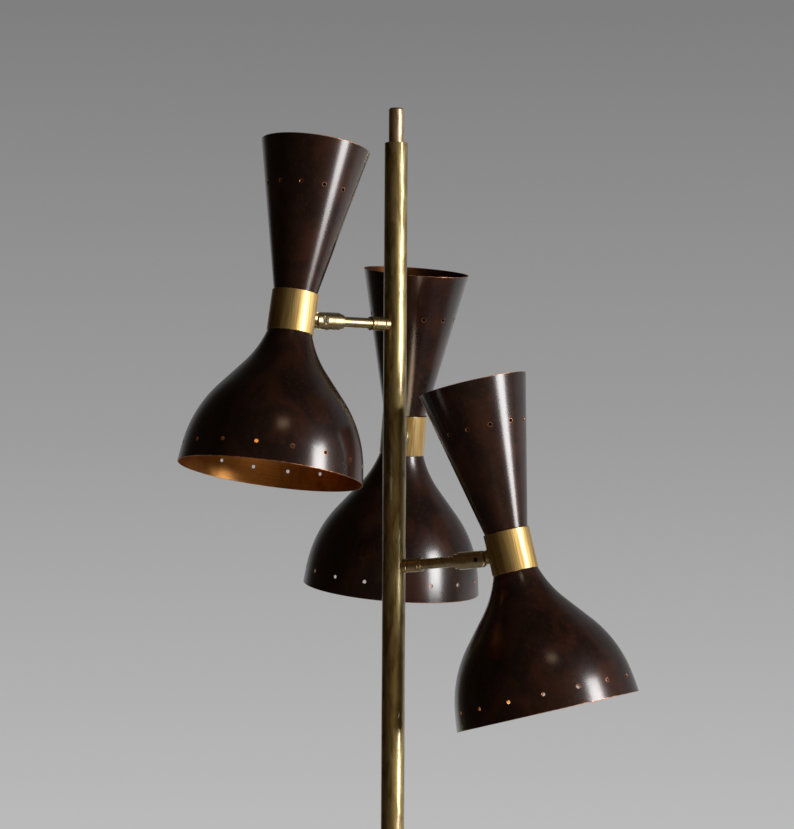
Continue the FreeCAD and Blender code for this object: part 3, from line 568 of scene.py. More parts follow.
class Zone(IntEnum):
    """The strips of a shade's sheet that get finishes of their own."""

    OUTSIDE = 0
    INSIDE = 1
    EDGE = 2
    NECK = 3
    UPPER_INSIDE = 4


AddFace = Callable[[Sequence[bmesh.types.BMVert], Zone], None]


@dataclass
class SectorRing:
    """A Geometry Nodes tree that repeats one sector round Z, welds its seams and dresses its zones."""

    finishes: dict[Zone, bpy.types.Material]
    weld: float = 0.01
    tree: bpy.types.NodeTree = field(init=False)
    sockets: dict[str, str] = field(init=False, default_factory=dict)

    def __post_init__(self) -> None:
        """Builds the tree once, for every shade."""
        self.tree = bpy.data.node_groups.new("sector_ring", "GeometryNodeTree")
        face = self.tree.interface
        face.new_socket("Sector", in_out="INPUT", socket_type="NodeSocketGeometry")
        for name, kind in (("Count", "NodeSocketInt"), ("Turn", "NodeSocketFloat"),
                           ("Weld", "NodeSocketFloat")):
            self.sockets[name] = face.new_socket(name, in_out="INPUT", socket_type=kind).identifier
        face.new_socket("Shade", in_out="OUTPUT", socket_type="NodeSocketGeometry")
        given = add_node(self.tree, "NodeGroupInput")
        points = add_node(self.tree, "GeometryNodePoints", inputs={"Count": given.outputs["Count"]})
        step = add_node(self.tree, "ShaderNodeMath", {"operation": "DIVIDE"},
                        {0: 2 * math.pi, 1: given.outputs["Count"]})
        angle = add_node(self.tree, "ShaderNodeMath", {"operation": "MULTIPLY_ADD"}, {
            0: add_node(self.tree, "GeometryNodeInputIndex").outputs[0],
            1: step.outputs[0], 2: given.outputs["Turn"]})
        turn = add_node(self.tree, "ShaderNodeCombineXYZ", inputs={"Z": angle.outputs[0]})
        copies = add_node(self.tree, "GeometryNodeInstanceOnPoints", inputs={
            "Points": points.outputs[0], "Instance": given.outputs["Sector"],
            "Rotation": turn.outputs[0]})
        whole = add_node(self.tree, "GeometryNodeRealizeInstances",
                         inputs={"Geometry": copies.outputs[0]})
        shape = add_node(self.tree, "GeometryNodeMergeByDistance", inputs={
            "Geometry": whole.outputs[0], "Distance": given.outputs["Weld"]}).outputs[0]
        zone = add_node(self.tree, "GeometryNodeInputNamedAttribute", {"data_type": "INT"},
                        {"Name": ZONE}).outputs[0]
        for strip, finish in self.finishes.items():
            chosen = add_node(self.tree, "FunctionNodeCompare",
                              {"data_type": "INT", "operation": "EQUAL"}, {2: zone, 3: int(strip)})
            shape = add_node(self.tree, "GeometryNodeSetMaterial", inputs={
                "Geometry": shape, "Selection": chosen.outputs[0], "Material": finish}).outputs[0]
        add_node(self.tree, "NodeGroupOutput", inputs={"Shade": shape})

    def whole(self, sector: bmesh.types.BMesh, name: str, count: int, turn: float) -> bpy.types.Mesh:
        """Makes the whole shade from its sector.

        Args:
            sector: one hole's share of the sheet.
            name: the mesh's name.
            count: how many sectors go round.
            turn: where the first one lies, in degrees.

        Returns:
            The shade's mesh, in its own frame.
        """
        carrier = carrier_of(sector, name)
        modifier = carrier.modifiers.new("ring", "NODES")
        modifier.node_group = self.tree
        modifier[self.sockets["Count"]] = count
        modifier[self.sockets["Turn"]] = math.radians(turn)
        modifier[self.sockets["Weld"]] = self.weld * MM
        mesh = evaluated(carrier)
        shell = bmesh.new()
        shell.from_mesh(mesh)
        bmesh.ops.recalc_face_normals(shell, faces=shell.faces)
        shell.to_mesh(mesh)
        shell.free()
        return mesh


@dataclass
class PlacedCopies:
    """A Geometry Nodes tree that sets copies of one fitting at marked places on the lamp."""

    tree: bpy.types.NodeTree = field(init=False)
    sockets: dict[str, str] = field(init=False, default_factory=dict)

    def __post_init__(self) -> None:
        """Builds the tree once, for every kind of fitting."""
        self.tree = bpy.data.node_groups.new("placed_copies", "GeometryNodeTree")
        face = self.tree.interface
        face.new_socket("Places", in_out="INPUT", socket_type="NodeSocketGeometry")
        for name, kind in (("Fitting", "NodeSocketObject"), ("Finish", "NodeSocketMaterial")):
            self.sockets[name] = face.new_socket(name, in_out="INPUT", socket_type=kind).identifier
        face.new_socket("Fittings", in_out="OUTPUT", socket_type="NodeSocketGeometry")
        given = add_node(self.tree, "NodeGroupInput")
        fitting = add_node(self.tree, "GeometryNodeObjectInfo", inputs={"Object": given.outputs["Fitting"]})
        axes = [add_node(self.tree, "GeometryNodeInputNamedAttribute", {"data_type": "FLOAT_VECTOR"},
                         {"Name": name}).outputs[0] for name in ("along", "above")]
        aimed = add_node(self.tree, "FunctionNodeAxesToRotation",
                         {"primary_axis": "X", "secondary_axis": "Z"}, {0: axes[0], 1: axes[1]})
        copies = add_node(self.tree, "GeometryNodeInstanceOnPoints", inputs={
            "Points": given.outputs["Places"], "Instance": fitting.outputs["Geometry"],
            "Rotation": aimed.outputs[0]})
        whole = add_node(self.tree, "GeometryNodeRealizeInstances",
                         inputs={"Geometry": copies.outputs[0]})
        dressed = add_node(self.tree, "GeometryNodeSetMaterial", inputs={
            "Geometry": whole.outputs[0], "Material": given.outputs["Finish"]})
        add_node(self.tree, "NodeGroupOutput", inputs={"Fittings": dressed.outputs[0]})

    def set_out(self, fitting: bmesh.types.BMesh, name: str, places: Sequence[Matrix],
                finish: bpy.types.Material) -> bpy.types.Mesh:
        """Sets a fitting out at several places.

        Args:
            fitting: the fitting in its own frame, X outward.
            name: the mesh's name.
            places: the frames that it goes to.
            finish: the fittings' finish.

        Returns:
            One mesh with every copy, in the lamp's frame.
        """
        pattern = bpy.data.objects.new(name + "_pattern", settled(fitting, name + "_pattern", Matrix()))
        bpy.context.scene.collection.objects.link(pattern)
        marks = bpy.data.meshes.new(name)
        marks.from_pydata([place.translation for place in places], [], [])
        for label, column in (("along", 0), ("above", 2)):
            values = [value for place in places for value in place.col[column][:3]]
            marks.attributes.new(label, "FLOAT_VECTOR", "POINT").data.foreach_set("vector", values)
        carrier = bpy.data.objects.new(name, marks)
        bpy.context.scene.collection.objects.link(carrier)
        modifier = carrier.modifiers.new("copies", "NODES")
        modifier.node_group = self.tree
        modifier[self.sockets["Fitting"]] = pattern
        modifier[self.sockets["Finish"]] = finish
        mesh = evaluated(carrier)
        bpy.data.objects.remove(pattern)
        return mesh


# The workshop -------------------------------------------------------------------------------------

class Workshop:
    """Puts finished pieces on the frame, and keeps the finishes and trees that they share."""

    def __init__(self, frame: dict[str, Any]) -> None:
        """Keeps the frame's nodes and builds the shared trees."""
        self.nodes: dict[str, bpy.types.Object] = frame["nodes"]
        self.materials: dict[str, bpy.types.Material] = {}
        self.copies = PlacedCopies()
        self.ring = SectorRing({Zone.OUTSIDE: self.finish(SHADE_LACQUER),
                                Zone.INSIDE: self.finish(BELL_INSIDE),
                                Zone.EDGE: self.finish(BARE_EDGE),
                                Zone.NECK: self.finish(BELL_INSIDE),
                                # The cones' insides take the painted-shade copy of the bells' brass.
                                Zone.UPPER_INSIDE: self.finish(CONE_INSIDE_PAINTED_SHADE)})

    def finish(self, finish: Finish) -> bpy.types.Material:
        """The material of a finish, built the first time that it is asked for."""
        if finish.name not in self.materials:
            self.materials[finish.name] = finish.material()
        return self.materials[finish.name]

    def show(self, mesh: bpy.types.Mesh, body: str, slot: str, finish: Finish | None,
             *replaced: str) -> bpy.types.Object:
        """Shows a finished piece in place of CAD nodes.

        Args:
            mesh: the finished mesh, which gives the piece its name.
            body: the CAD body that it rides on.
            slot: the record's material slot; not used.
            finish: its finish, or None where its mesh has its materials.
            replaced: the CAD nodes that it stands for.

        Returns:
            The piece.
        """
        if finish is not None:
            mesh.materials.clear()
            mesh.materials.append(self.finish(finish))
        piece = bpy.data.objects.new(mesh.name, mesh)
        bpy.context.scene.collection.objects.link(piece)
        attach(piece, body)
        if replaced:
            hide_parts(*replaced)
        LOG.info("%s: %d faces on %s for %s", piece.name, len(mesh.polygons), body, ", ".join(replaced))
        return piece

    def dress(self, finish: Finish, *names: str) -> None:
        """Gives CAD nodes whose shape is right a finish of their own."""
        for name in names:
            mesh = self.nodes[name].data
            mesh.materials.clear()
            mesh.materials.append(self.finish(finish))
            LOG.info("%s: the CAD piece in %s", name, finish.name)

    def eased(self, node: str, name: str, round_edge: float, place: Matrix) -> bpy.types.Mesh:
        """Copies a CAD node and eases its sharp edges.

        Args:
            node: the CAD node.
            name: the new mesh's name.
            round_edge: the width of the eased edge.
            place: the piece's own frame, which its finish follows.

        Returns:
            The eased mesh, in its place on the lamp.
        """
        solid = bmesh.new()
        solid.from_mesh(self.nodes[node].data)
        bmesh.ops.remove_doubles(solid, verts=solid.verts, dist=WELD)
        bmesh.ops.dissolve_limit(solid, angle_limit=math.radians(FLAT_WITHIN), verts=solid.verts,
                                 edges=solid.edges)
        solid.transform(place.inverted())
        carrier = carrier_of(solid, name)
        carrier.data.shade_smooth()
        bevel = carrier.modifiers.new("eased", "BEVEL")
        bevel.limit_method = "ANGLE"
        bevel.angle_limit = math.radians(EASED_PAST)
        bevel.width = round_edge * MM
        bevel.segments = 2
        weighted = carrier.modifiers.new("even", "WEIGHTED_NORMAL")
        weighted.weight = 80
        mesh = evaluated(carrier)
        mesh.name = name
        keep_own_place(mesh)
        mesh.transform(place)
        return mesh


# The foot -----------------------------------------------------------------------------------------

@dataclass
class Foot:
    """The weighted foot: a soft pad, a heavy disc and the turned socket that holds the pole."""

    pad_radius: float = 58.0
    pad_thickness: float = 3.0
    plate_radius: float = 60.0
    plate_top: float = 15.0
    plate_round: float = 4.0
    ring_outer: float = 46.0
    ring_inner: float = 45.0
    ring_flank: float = 0.4
    ring_depth: float = 0.5
    bolt_hole: float = 4.0
    recess_radius: float = 8.5
    recess_depth: float = 5.0
    socket_radius: float = 18.0
    flange_top: float = 22.0
    bevel: float = 2.0
    neck_radius: float = 12.5
    neck_foot: float = 1.5
    neck_start: float = 3.0
    neck_chamfer: float = 0.3
    socket_top: float = 30.0
    spigot_radius: float = 10.95
    spigot_top: float = 50.0
    bolt_end: float = 42.0

    def build(self, shop: Workshop) -> None:
        """Builds and dresses the foot."""
        shop.show(self.pad(), "pole", "felt", FELT, "foot_pad")
        shop.show(self.plate(), "pole", "satin_brass", TURNED_BRASS, "foot_plate")
        shop.show(self.socket(), "pole", "aged_brass", POLE_BRASS, "foot_socket")
        shop.dress(PLATED_STEEL, "foot_bolt")

    def pad(self) -> bpy.types.Mesh:
        """The felt disc, with a soft edge."""
        outline = rounded([(0, 0, 0), (self.pad_radius, 0, 0.6), (self.pad_radius, self.pad_thickness, 0.3),
                           (0, self.pad_thickness, 0)])
        return settled(turned(outline, LARGE_ROUND), "foot_pad_felt", Matrix())

    def plate(self) -> bpy.types.Mesh:
        """The disc, with its rounded upper edge, a shallow turned ring and a recess below."""
        bottom = self.pad_thickness
        recess_top = bottom + self.recess_depth
        ring_floor = self.plate_top - self.ring_depth
        outline = rounded([(self.recess_radius, bottom, 0), (self.plate_radius, bottom, 0.6),
                           (self.plate_radius, self.plate_top, self.plate_round),
                           (self.ring_outer + self.ring_flank, self.plate_top, 0.2),
                           (self.ring_outer, ring_floor, 0.15), (self.ring_inner, ring_floor, 0.15),
                           (self.ring_inner - self.ring_flank, self.plate_top, 0.2),
                           (self.bolt_hole, self.plate_top, 0), (self.bolt_hole, recess_top, 0),
                           (self.recess_radius, recess_top, 0)], facets=6)
        return settled(turned(outline, LARGE_ROUND), "foot_plate_turned", Matrix())

    def socket(self) -> bpy.types.Mesh:
        """The turned collar, with its bevelled flange and the neck that runs into the pole."""
        chamfer = self.neck_chamfer
        outline = rounded([(self.bolt_hole, self.plate_top, 0), (self.socket_radius, self.plate_top, 0.3),
                           (self.socket_radius, self.flange_top - self.bevel, 0.4),
                           (self.socket_radius - self.bevel, self.flange_top, 0.4),
                           (self.neck_radius + self.neck_foot, self.flange_top + self.neck_foot / 2, 0.5),
                           (self.neck_radius, self.flange_top + self.neck_start, 0.6),
                           (self.neck_radius, self.socket_top - chamfer, 0),
                           (self.neck_radius - chamfer, self.socket_top, 0),
                           (self.spigot_radius, self.socket_top, 0),
                           (self.spigot_radius, self.spigot_top, 0), (0, self.spigot_top, 0),
                           (0, self.bolt_end, 0), (self.bolt_hole, self.bolt_end, 0)])
        return settled(turned(outline, LARGE_ROUND), "foot_socket_turned", Matrix())


# The pole -----------------------------------------------------------------------------------------

@dataclass
class Pole:
    """The pole's two tubes, what joins and fills them, and the small things in its back wall."""

    radius: float = 12.5
    bore: float = 11.0
    bottom: float = 30.0
    joint: float = 1221.0
    top: float = 2412.0
    screw_radius: float = 2.0
    screw_face: float = 12.2
    screw_length: float = 4.7
    screw_play: float = 0.02
    screw_heights: tuple[float, ...] = (40.0, 1196.0, 1246.0)
    key_radius: float = 1.1
    key_depth: float = 2.0
    drill_depth: float = 8.0
    drill_margin: float = 4.0

    def build(self, shop: Workshop) -> None:
        """Builds and dresses the pole."""
        shop.show(self.tube("pole_lower_tube", self.bottom, self.joint), "pole", "aged_brass",
                  POLE_BRASS, "pole_lower")
        shop.show(self.tube("pole_upper_tube", self.joint, self.top), "pole", "aged_brass",
                  POLE_BRASS, "pole_upper")
        shop.show(self.screws(shop), "pole", "steel", None, "grub_screws")
        inlet = shop.eased("cord_inlet", "cord_inlet_moulded", 0.3, Matrix())
        shop.show(inlet, "pole", "black_bush", BLACK_NYLON, "cord_inlet")
        shop.dress(PLATED_STEEL, "pole_joiner", "arm_bosses", "arm_nipples")
        shop.dress(LEAD_SLEEVE, "pole_leads")

    def tube(self, name: str, start: float, end: float) -> bpy.types.Mesh:
        """One tube, eased at its ends and drilled for its screws.

        Args:
            name: the tube's name.
            start: its lower end's height.
            end: its upper end's height.

        Returns:
            The tube's mesh.
        """
        heights = [height for height in self.screw_heights if start < height < end]
        margin = self.drill_margin
        holds = sorted(height + shift for height in heights for shift in (-margin, margin))
        outer = [(self.radius, height, 0) for height in holds]
        inner = [(self.bore, height, 0) for height in reversed(holds)]
        outline = rounded([(self.radius, start, 0.25)] + outer + [(self.radius, end, 0.35)]
                          + [(self.bore, end, 0.2)] + inner + [(self.bore, start, 0.1)])
        tube = carrier_of(turned(outline, LARGE_ROUND), name)
        drills = bmesh.new()
        for height in heights:
            drill = Matrix.Translation((0, self.radius * MM, height * MM)) @ Matrix.Rotation(
                math.radians(90), 4, "X")
            bmesh.ops.create_cone(drills, cap_ends=True, segments=32, radius1=self.screw_radius * MM,
                                  radius2=self.screw_radius * MM, depth=self.drill_depth * MM,
                                  matrix=drill)
        cutter = carrier_of(drills, name + "_drills")
        cut = tube.modifiers.new("drilled", "BOOLEAN")
        cut.object = cutter
        cut.solver = "EXACT"
        mesh = evaluated(tube)
        bpy.data.objects.remove(cutter)
        return settled(mesh, name, Matrix())

    def screws(self, shop: Workshop) -> bpy.types.Mesh:
        """The headless screws, each with its hexagon socket, set out up the pole's back."""
        radius = self.screw_radius - self.screw_play
        key = self.key_radius
        outline = rounded([(key, 0, 0), (radius, 0, 0.2), (radius, -self.screw_length, 0.2),
                           (0, -self.screw_length, 0), (0, -self.key_depth, 0),
                           (key, -self.key_depth, 0)], facets=3, hold=0.1)
        screw = turned(outline, 24)
        half_flat = math.radians(30)
        for vertex in screw.verts:
            if WELD < vertex.co.xy.length < key * MM + WELD:
                angle = math.atan2(vertex.co.y, vertex.co.x) % (2 * half_flat) - half_flat
                vertex.co.xy *= math.cos(half_flat) / math.cos(angle)
        screw.transform(LAID_ALONG)
        back = Vector((0, 1, 0))
        places = [axes_matrix(Vector((0, self.screw_face, height)), back, UP.cross(back), UP)
                  for height in self.screw_heights]
        return shop.copies.set_out(screw, "grub_screws_set", places, shop.finish(PLATED_STEEL))


@dataclass
class Plunger:
    """The sprung plunger: a guide in the pole's end, a slim rod and the pad that meets the ceiling."""

    pole_top: float = 2412.0
    bush_recess: float = 0.8
    bush_length: float = 29.2
    bush_bore: float = 8.16
    bush_radius: float = 10.95
    rod_radius: float = 8.1
    rod_shows: float = 38.0
    rod_length: float = 150.0
    pad_radius: float = 7.3
    pad_thickness: float = 2.5
    pad_proud: float = 1.0
    steps: int = 96

    def build(self, shop: Workshop) -> None:
        """Builds and dresses the plunger."""
        shop.show(self.bush(), "pole", "aged_brass", TURNED_BRASS, "top_bush")
        shop.show(self.rod(), "plunger", "rod_brass", ROD_BRASS, "plunger_rod")
        shop.show(self.pad(), "plunger", "tip_rubber", RUBBER, "tip_pad")
        shop.dress(PLATED_STEEL, "spring_seat", "plunger_stop")
        shop.dress(SPRING_STEEL, "plunger_spring")

    def bush(self) -> bpy.types.Mesh:
        """The guide, eased where the rod leaves it."""
        top = self.pole_top - self.bush_recess
        bottom = top - self.bush_length
        outline = rounded([(self.bush_bore, bottom, 0), (self.bush_radius, bottom, 0),
                           (self.bush_radius, top, 0.3), (self.bush_bore, top, 0.5)])
        return settled(turned(outline, self.steps), "top_bush_turned", Matrix())

    def rod(self) -> bpy.types.Mesh:
        """The rod, with a round upper edge and a seat for its pad."""
        top = self.pole_top + self.rod_shows - self.pad_proud
        seat = top + self.pad_proud - self.pad_thickness
        bottom = top - self.rod_length
        outline = rounded([(0, bottom, 0), (self.rod_radius, bottom, 0.4), (self.rod_radius, top, 0.6),
                           (self.pad_radius, top, 0), (self.pad_radius, seat, 0), (0, seat, 0)], hold=0.05)
        return settled(turned(outline, self.steps), "plunger_rod_turned", Matrix())

    def pad(self) -> bpy.types.Mesh:
        """The thin rubber disc."""
        top = self.pole_top + self.rod_shows
        bottom = top - self.pad_thickness
        outline = rounded([(0, bottom, 0), (self.pad_radius, bottom, 0), (self.pad_radius, top, 0.3),
                           (0, top, 0)])
        return settled(turned(outline, self.steps), "tip_pad_moulded", Matrix())


# Arms and shades ----------------------------------------------------------------------------------

@dataclass(frozen=True)
class HeadSetting:
    """Where one arm leaves the pole, how it points, and how its shade is set, with angles in degrees."""

    name: str
    drop: float
    azimuth: float
    rise: float
    swivel: float
    lean: float
    cone_turn: float
    bell_turn: float
    pole_top: float = 2412.0
    pivot_reach: float = 100.0
    pivot_to_shade: float = 38.0

    def arm_axes(self) -> tuple[Vector, Vector, Vector]:
        """The arm's axes: outward, level across it, and square to both."""
        azimuth = math.radians(self.azimuth)
        rise = math.radians(self.rise)
        outward = Vector((math.cos(rise) * math.cos(azimuth), math.cos(rise) * math.sin(azimuth),
                          math.sin(rise)))
        across = Vector((-math.sin(azimuth), math.cos(azimuth), 0))
        return outward, across, outward.cross(across)

    def root(self) -> Vector:
        """Where the arm's axis meets the pole's."""
        return Vector((0, 0, self.pole_top - self.drop))

    def arm_place(self) -> Matrix:
        """The frame of what stays with the pole."""
        return axes_matrix(self.root(), *self.arm_axes())

    def fork_axes(self) -> tuple[Vector, Vector, Vector]:
        """The arm's axes turned by its swivel: outward, along the pivot, and square to both."""
        outward, across, square = self.arm_axes()
        swivel = math.radians(self.swivel)
        pin = across * math.cos(swivel) - square * math.sin(swivel)
        return outward, pin, outward.cross(pin)

    def fork_place(self) -> Matrix:
        """The frame of what swivels with the arm."""
        return axes_matrix(self.root(), *self.fork_axes())

    def shade_place(self) -> Matrix:
        """The double shade's frame: origin at its band, Z up its axis."""
        outward, pin, square = self.fork_axes()
        lean = math.radians(self.lean)
        away = outward * math.cos(lean) + square * math.sin(lean)
        axis = square * math.cos(lean) - outward * math.sin(lean)
        origin = self.root() + outward * self.pivot_reach + away * self.pivot_to_shade
        return axes_matrix(origin, away, pin, axis)


HEADS = (
    HeadSetting("high", drop=197.6, azimuth=-141.9, rise=-2.0, swivel=1.4, lean=10.1,
                cone_turn=12.4, bell_turn=20.9),
    HeadSetting("middle", drop=311.0, azimuth=86.3, rise=0.0, swivel=-5.1, lean=11.6,
                cone_turn=19.2, bell_turn=8.7),
    HeadSetting("low", drop=458.5, azimuth=-25.5, rise=3.5, swivel=-6.0, lean=8.2,
                cone_turn=3.9, bell_turn=0.5),
)


@dataclass
class ArmRoots:
    """The fittings that hold the three arms to the pole, set out by one Geometry Nodes tree."""

    saddle_radius: float = 7.3
    saddle_inner: float = 11.4
    saddle_outer: float = 17.6
    saddle_bore: float = 4.0
    collar_radius: float = 7.5
    collar_inner: float = 18.0
    collar_outer: float = 30.0
    chamber: float = 6.6
    chamber_floor: float = 20.5
    cap_spigot: float = 26.0
    cap_start: float = 30.5
    cap_outer: float = 34.0
    cap_bore: float = 5.76
    steps: int = 72

    def build(self, shop: Workshop) -> None:
        """Builds and dresses the fittings."""
        places = [head.arm_place() for head in HEADS]
        for name, outline, node in (("saddle_washers_set", self.saddle(), "saddle_washers"),
                                    ("arm_collars_set", self.collar(), "arm_collars"),
                                    ("collar_caps_set", self.cap(), "collar_caps")):
            fitting = turned(outline, self.steps)
            fitting.transform(LAID_ALONG)
            mesh = shop.copies.set_out(fitting, name, places, shop.finish(LAID_BRASS))
            shop.show(mesh, "pole", "satin_brass", None, node)

    def saddle(self) -> list[Point]:
        """The rounded washer, which runs into the pole's wall where it is hollowed for it."""
        return rounded([(self.saddle_bore, self.saddle_inner, 0), (self.saddle_radius, self.saddle_inner, 0),
                        (self.saddle_radius, self.saddle_outer, 1.8),
                        (self.saddle_bore, self.saddle_outer, 0)], facets=8)

    def collar(self) -> list[Point]:
        """The swivel's housing, eased at both ends, with the chamber that the arm's flange turns in."""
        return rounded([(self.saddle_bore, self.collar_inner, 0),
                        (self.collar_radius, self.collar_inner, 0.5),
                        (self.collar_radius, self.collar_outer, 0.4), (self.chamber, self.collar_outer, 0),
                        (self.chamber, self.chamber_floor, 0), (self.saddle_bore, self.chamber_floor, 0)])

    def cap(self) -> list[Point]:
        """The ring that closes the housing, set off by a dark groove."""
        return rounded([(self.cap_bore, self.cap_spigot, 0), (self.chamber, self.cap_spigot, 0),
                        (self.chamber, self.cap_start, 0), (self.collar_radius, self.cap_start, 0.3),
                        (self.collar_radius, self.cap_outer, 0.6), (self.cap_bore, self.cap_outer, 0.2)])


@dataclass
class Arm:
    """One arm: its tube, the slotted knuckle at its end and the screw that the shade tilts on."""

    setting: HeadSetting
    radius: float = 5.7
    bore: float = 4.06
    start: float = 21.0
    end: float = 80.0
    flange_radius: float = 6.5
    flange_end: float = 25.5

    def build(self, shop: Workshop) -> None:
        """Builds and dresses the arm."""
        head = self.setting.name
        body = "arm_" + head
        place = self.setting.fork_place()
        shop.show(self.tube(place), body, "satin_brass", LAID_BRASS, "arm_tube_" + head)
        for node, width, finish in (("knuckle_fork_", 0.45, LAID_BRASS), ("pivot_screw_", 0.2, DARK_SCREW)):
            mesh = shop.eased(node + head, node + head + "_eased", width, place)
            shop.show(mesh, body, "satin_brass", finish, node + head)
        shop.dress(PLATED_STEEL, "friction_washers_" + head)

    def tube(self, place: Matrix) -> bpy.types.Mesh:
        """The arm's tube with the flange that turns in the collar."""
        outline = rounded([(self.bore, self.start, 0), (self.flange_radius, self.start, 0),
                           (self.flange_radius, self.flange_end, 0), (self.radius, self.flange_end, 0),
                           (self.radius, self.end, 0), (self.bore, self.end, 0)])
        tube = turned(outline, SMALL_ROUND)
        tube.transform(LAID_ALONG)
        return settled(tube, "arm_tube_" + self.setting.name + "_turned", place)


@dataclass
class SpunShade:
    """A shade spun from sheet with a ring of punched holes, made from one hole's sector."""

    sheet: float = 1.0
    neck_radius: float = 22.85
    band_half: float = 22.0
    bridge_half: float = 6.0
    stem_hole: float = 5.2
    neck_ease: float = 0.4
    neck_stop: float = 0.2
    first_row: float = 0.3
    hole_radius: float = 1.9
    hole_ease: float = 0.22
    patch: float = 6.0
    patch_steps: int = 6
    side_steps: int = 3
    row_step: float = 6.0
    rim_ease: float = 0.2
    rim_corner: float = 0.06
    bare_edge: float = 0.5
    bare_ring: float = 0.32
    ring_share: float = 0.35
    inner: Zone = Zone.INSIDE
    holes: int = 12
    hole_depth: float = 110.2
    height: float = 159.2

    def wall(self, depth: float, inset: float) -> Point:
        """A point of the wall.

        Args:
            depth: how far from the band it lies, along the shade's axis.
            inset: how far inside the outer face it lies.

        Returns:
            Its radius and its height from the band's middle.
        """
        raise NotImplementedError

    def slope(self, depth: float) -> float:
        """The wall's angle from the axis at a depth, in radians."""
        raise NotImplementedError

    def upward(self) -> int:
        """1 where the shade opens upward, or -1."""
        raise NotImplementedError

    def stations(self) -> list[float]:
        """The depths of the wall's rows, with the hole's rows among them."""
        reach = self.patch * math.cos(self.slope(self.hole_depth))
        first = self.hole_depth - reach
        last = self.hole_depth + reach
        rim = self.height - self.bare_edge
        inside = [first + (last - first) * step / self.patch_steps for step in range(self.patch_steps)]
        return [0.0] + self.spaced(self.first_row, first) + inside + self.spaced(last, rim) + [rim]

    def spaced(self, start: float, end: float) -> list[float]:
        """Evenly spaced depths from start up to, but not at, end."""
        count = max(1, round((end - start) / self.row_step))
        return [start + (end - start) * step / count for step in range(count)]

    def rows(self) -> list[tuple[float, float, Zone]]:
        """The closed outline of the sheet, each point with the zone of the strip after it."""
        up = self.upward()
        stations = self.stations()
        bridge = self.bridge_half
        neck_bore = self.neck_radius - self.sheet
        ease, corner = self.rim_ease, self.rim_corner
        outside = [(self.stem_hole, up * bridge), (self.neck_radius - self.neck_ease, up * bridge),
                   (self.neck_radius, up * (bridge + self.neck_ease)),
                   (self.neck_radius, up * (self.band_half - self.neck_stop))]
        rim = [(self.height - self.bare_edge, 0.0), (self.height - ease, 0.0),
               (self.height - corner, corner), (self.height, ease), (self.height, self.sheet - ease),
               (self.height - corner, self.sheet - corner), (self.height - ease, self.sheet)]
        inside = [(neck_bore, up * (self.band_half - self.sheet)), (neck_bore, up * (bridge + self.sheet)),
                  (self.stem_hole, up * (bridge + self.sheet))]
        rows = [(radius, height, Zone.NECK) for radius, height in outside]
        rows += [(*self.wall(depth, 0.0), Zone.OUTSIDE) for depth in stations[:-1]]
        rows += [(*self.wall(depth, inset), Zone.EDGE) for depth, inset in rim]
        rows += [(*self.wall(depth, self.sheet), self.inner) for depth in reversed(stations)]
        rows += [(radius, height, Zone.NECK) for radius, height in inside]
        return rows

    def columns(self) -> list[float]:
        """The angles of the sector's columns, in radians."""
        half = math.pi / self.holes
        near = self.patch / self.wall(self.hole_depth, 0.0)[0]
        side = [near + (half - near) * step / self.side_steps for step in range(1, self.side_steps + 1)]
        middle = [near * (2 * step / self.patch_steps - 1) for step in range(self.patch_steps + 1)]
        return [-angle for angle in reversed(side)] + middle + side

    def sector(self) -> bmesh.types.BMesh:
        """One hole's share of the shade, from neck to rim, open at its two sides."""
        rows = self.rows()
        columns = self.columns()
        stations = self.stations()
        slant = math.cos(self.slope(self.hole_depth))
        first = min(range(len(stations)),
                    key=lambda k: abs(stations[k] - (self.hole_depth - self.patch * slant)))
        zones = [row[2] for row in rows]
        outer_row = zones.index(Zone.OUTSIDE) + first
        inner_row = len(zones) - 1 - zones[::-1].index(self.inner) - first - self.patch_steps
        first_column = self.side_steps
        mesh = bmesh.new()
        zone_layer = mesh.faces.layers.int.new(ZONE)
        grid: dict[tuple[int, int], bmesh.types.BMVert] = {}

        def at(row: int, column: int) -> bmesh.types.BMVert:
            """The grid's vertex, made when it is first asked for."""
            key = (row % len(rows), column)
            if key not in grid:
                radius, height = rows[key[0]][:2]
                angle = columns[column]
                grid[key] = mesh.verts.new((radius * MM * math.cos(angle), radius * MM * math.sin(angle),
                                            height * MM))
            return grid[key]

        def face(corners: Sequence[bmesh.types.BMVert], zone: Zone) -> None:
            """One face with its zone."""
            mesh.faces.new(corners)[zone_layer] = int(zone)

        span = range(self.patch_steps)
        punched = {(start + row, first_column + column) for start in (outer_row, inner_row)
                   for row in span for column in span}
        for row in range(len(rows)):
            for column in range(len(columns) - 1):
                if (row, column) not in punched:
                    face([at(row, column), at(row, column + 1), at(row + 1, column + 1),
                          at(row + 1, column)], rows[row][2])
        outer = self.punch(mesh, at, face, outer_row, first_column, 0.0, Zone.OUTSIDE, 1)
        inner = self.punch(mesh, at, face, inner_row, first_column, self.sheet, self.inner, -1)
        lips = [outer] + [self.ring(mesh, 0.0, self.hole_radius, inset) for inset in
                          (self.hole_ease, self.sheet - self.hole_ease)] + [inner]
        self.join_rings(face, lips, (Zone.EDGE, Zone.EDGE, Zone.EDGE))
        return mesh

    def on_wall(self, mesh: bmesh.types.BMesh, across: float, along: float,
                inset: float) -> bmesh.types.BMVert:
        """A vertex near the hole, by its distances from the hole's centre on the sheet."""
        middle = self.wall(self.hole_depth, 0.0)[0]
        depth = self.hole_depth + along * math.cos(self.slope(self.hole_depth))
        radius, height = self.wall(depth, inset)
        angle = across / middle
        return mesh.verts.new((radius * MM * math.cos(angle), radius * MM * math.sin(angle), height * MM))

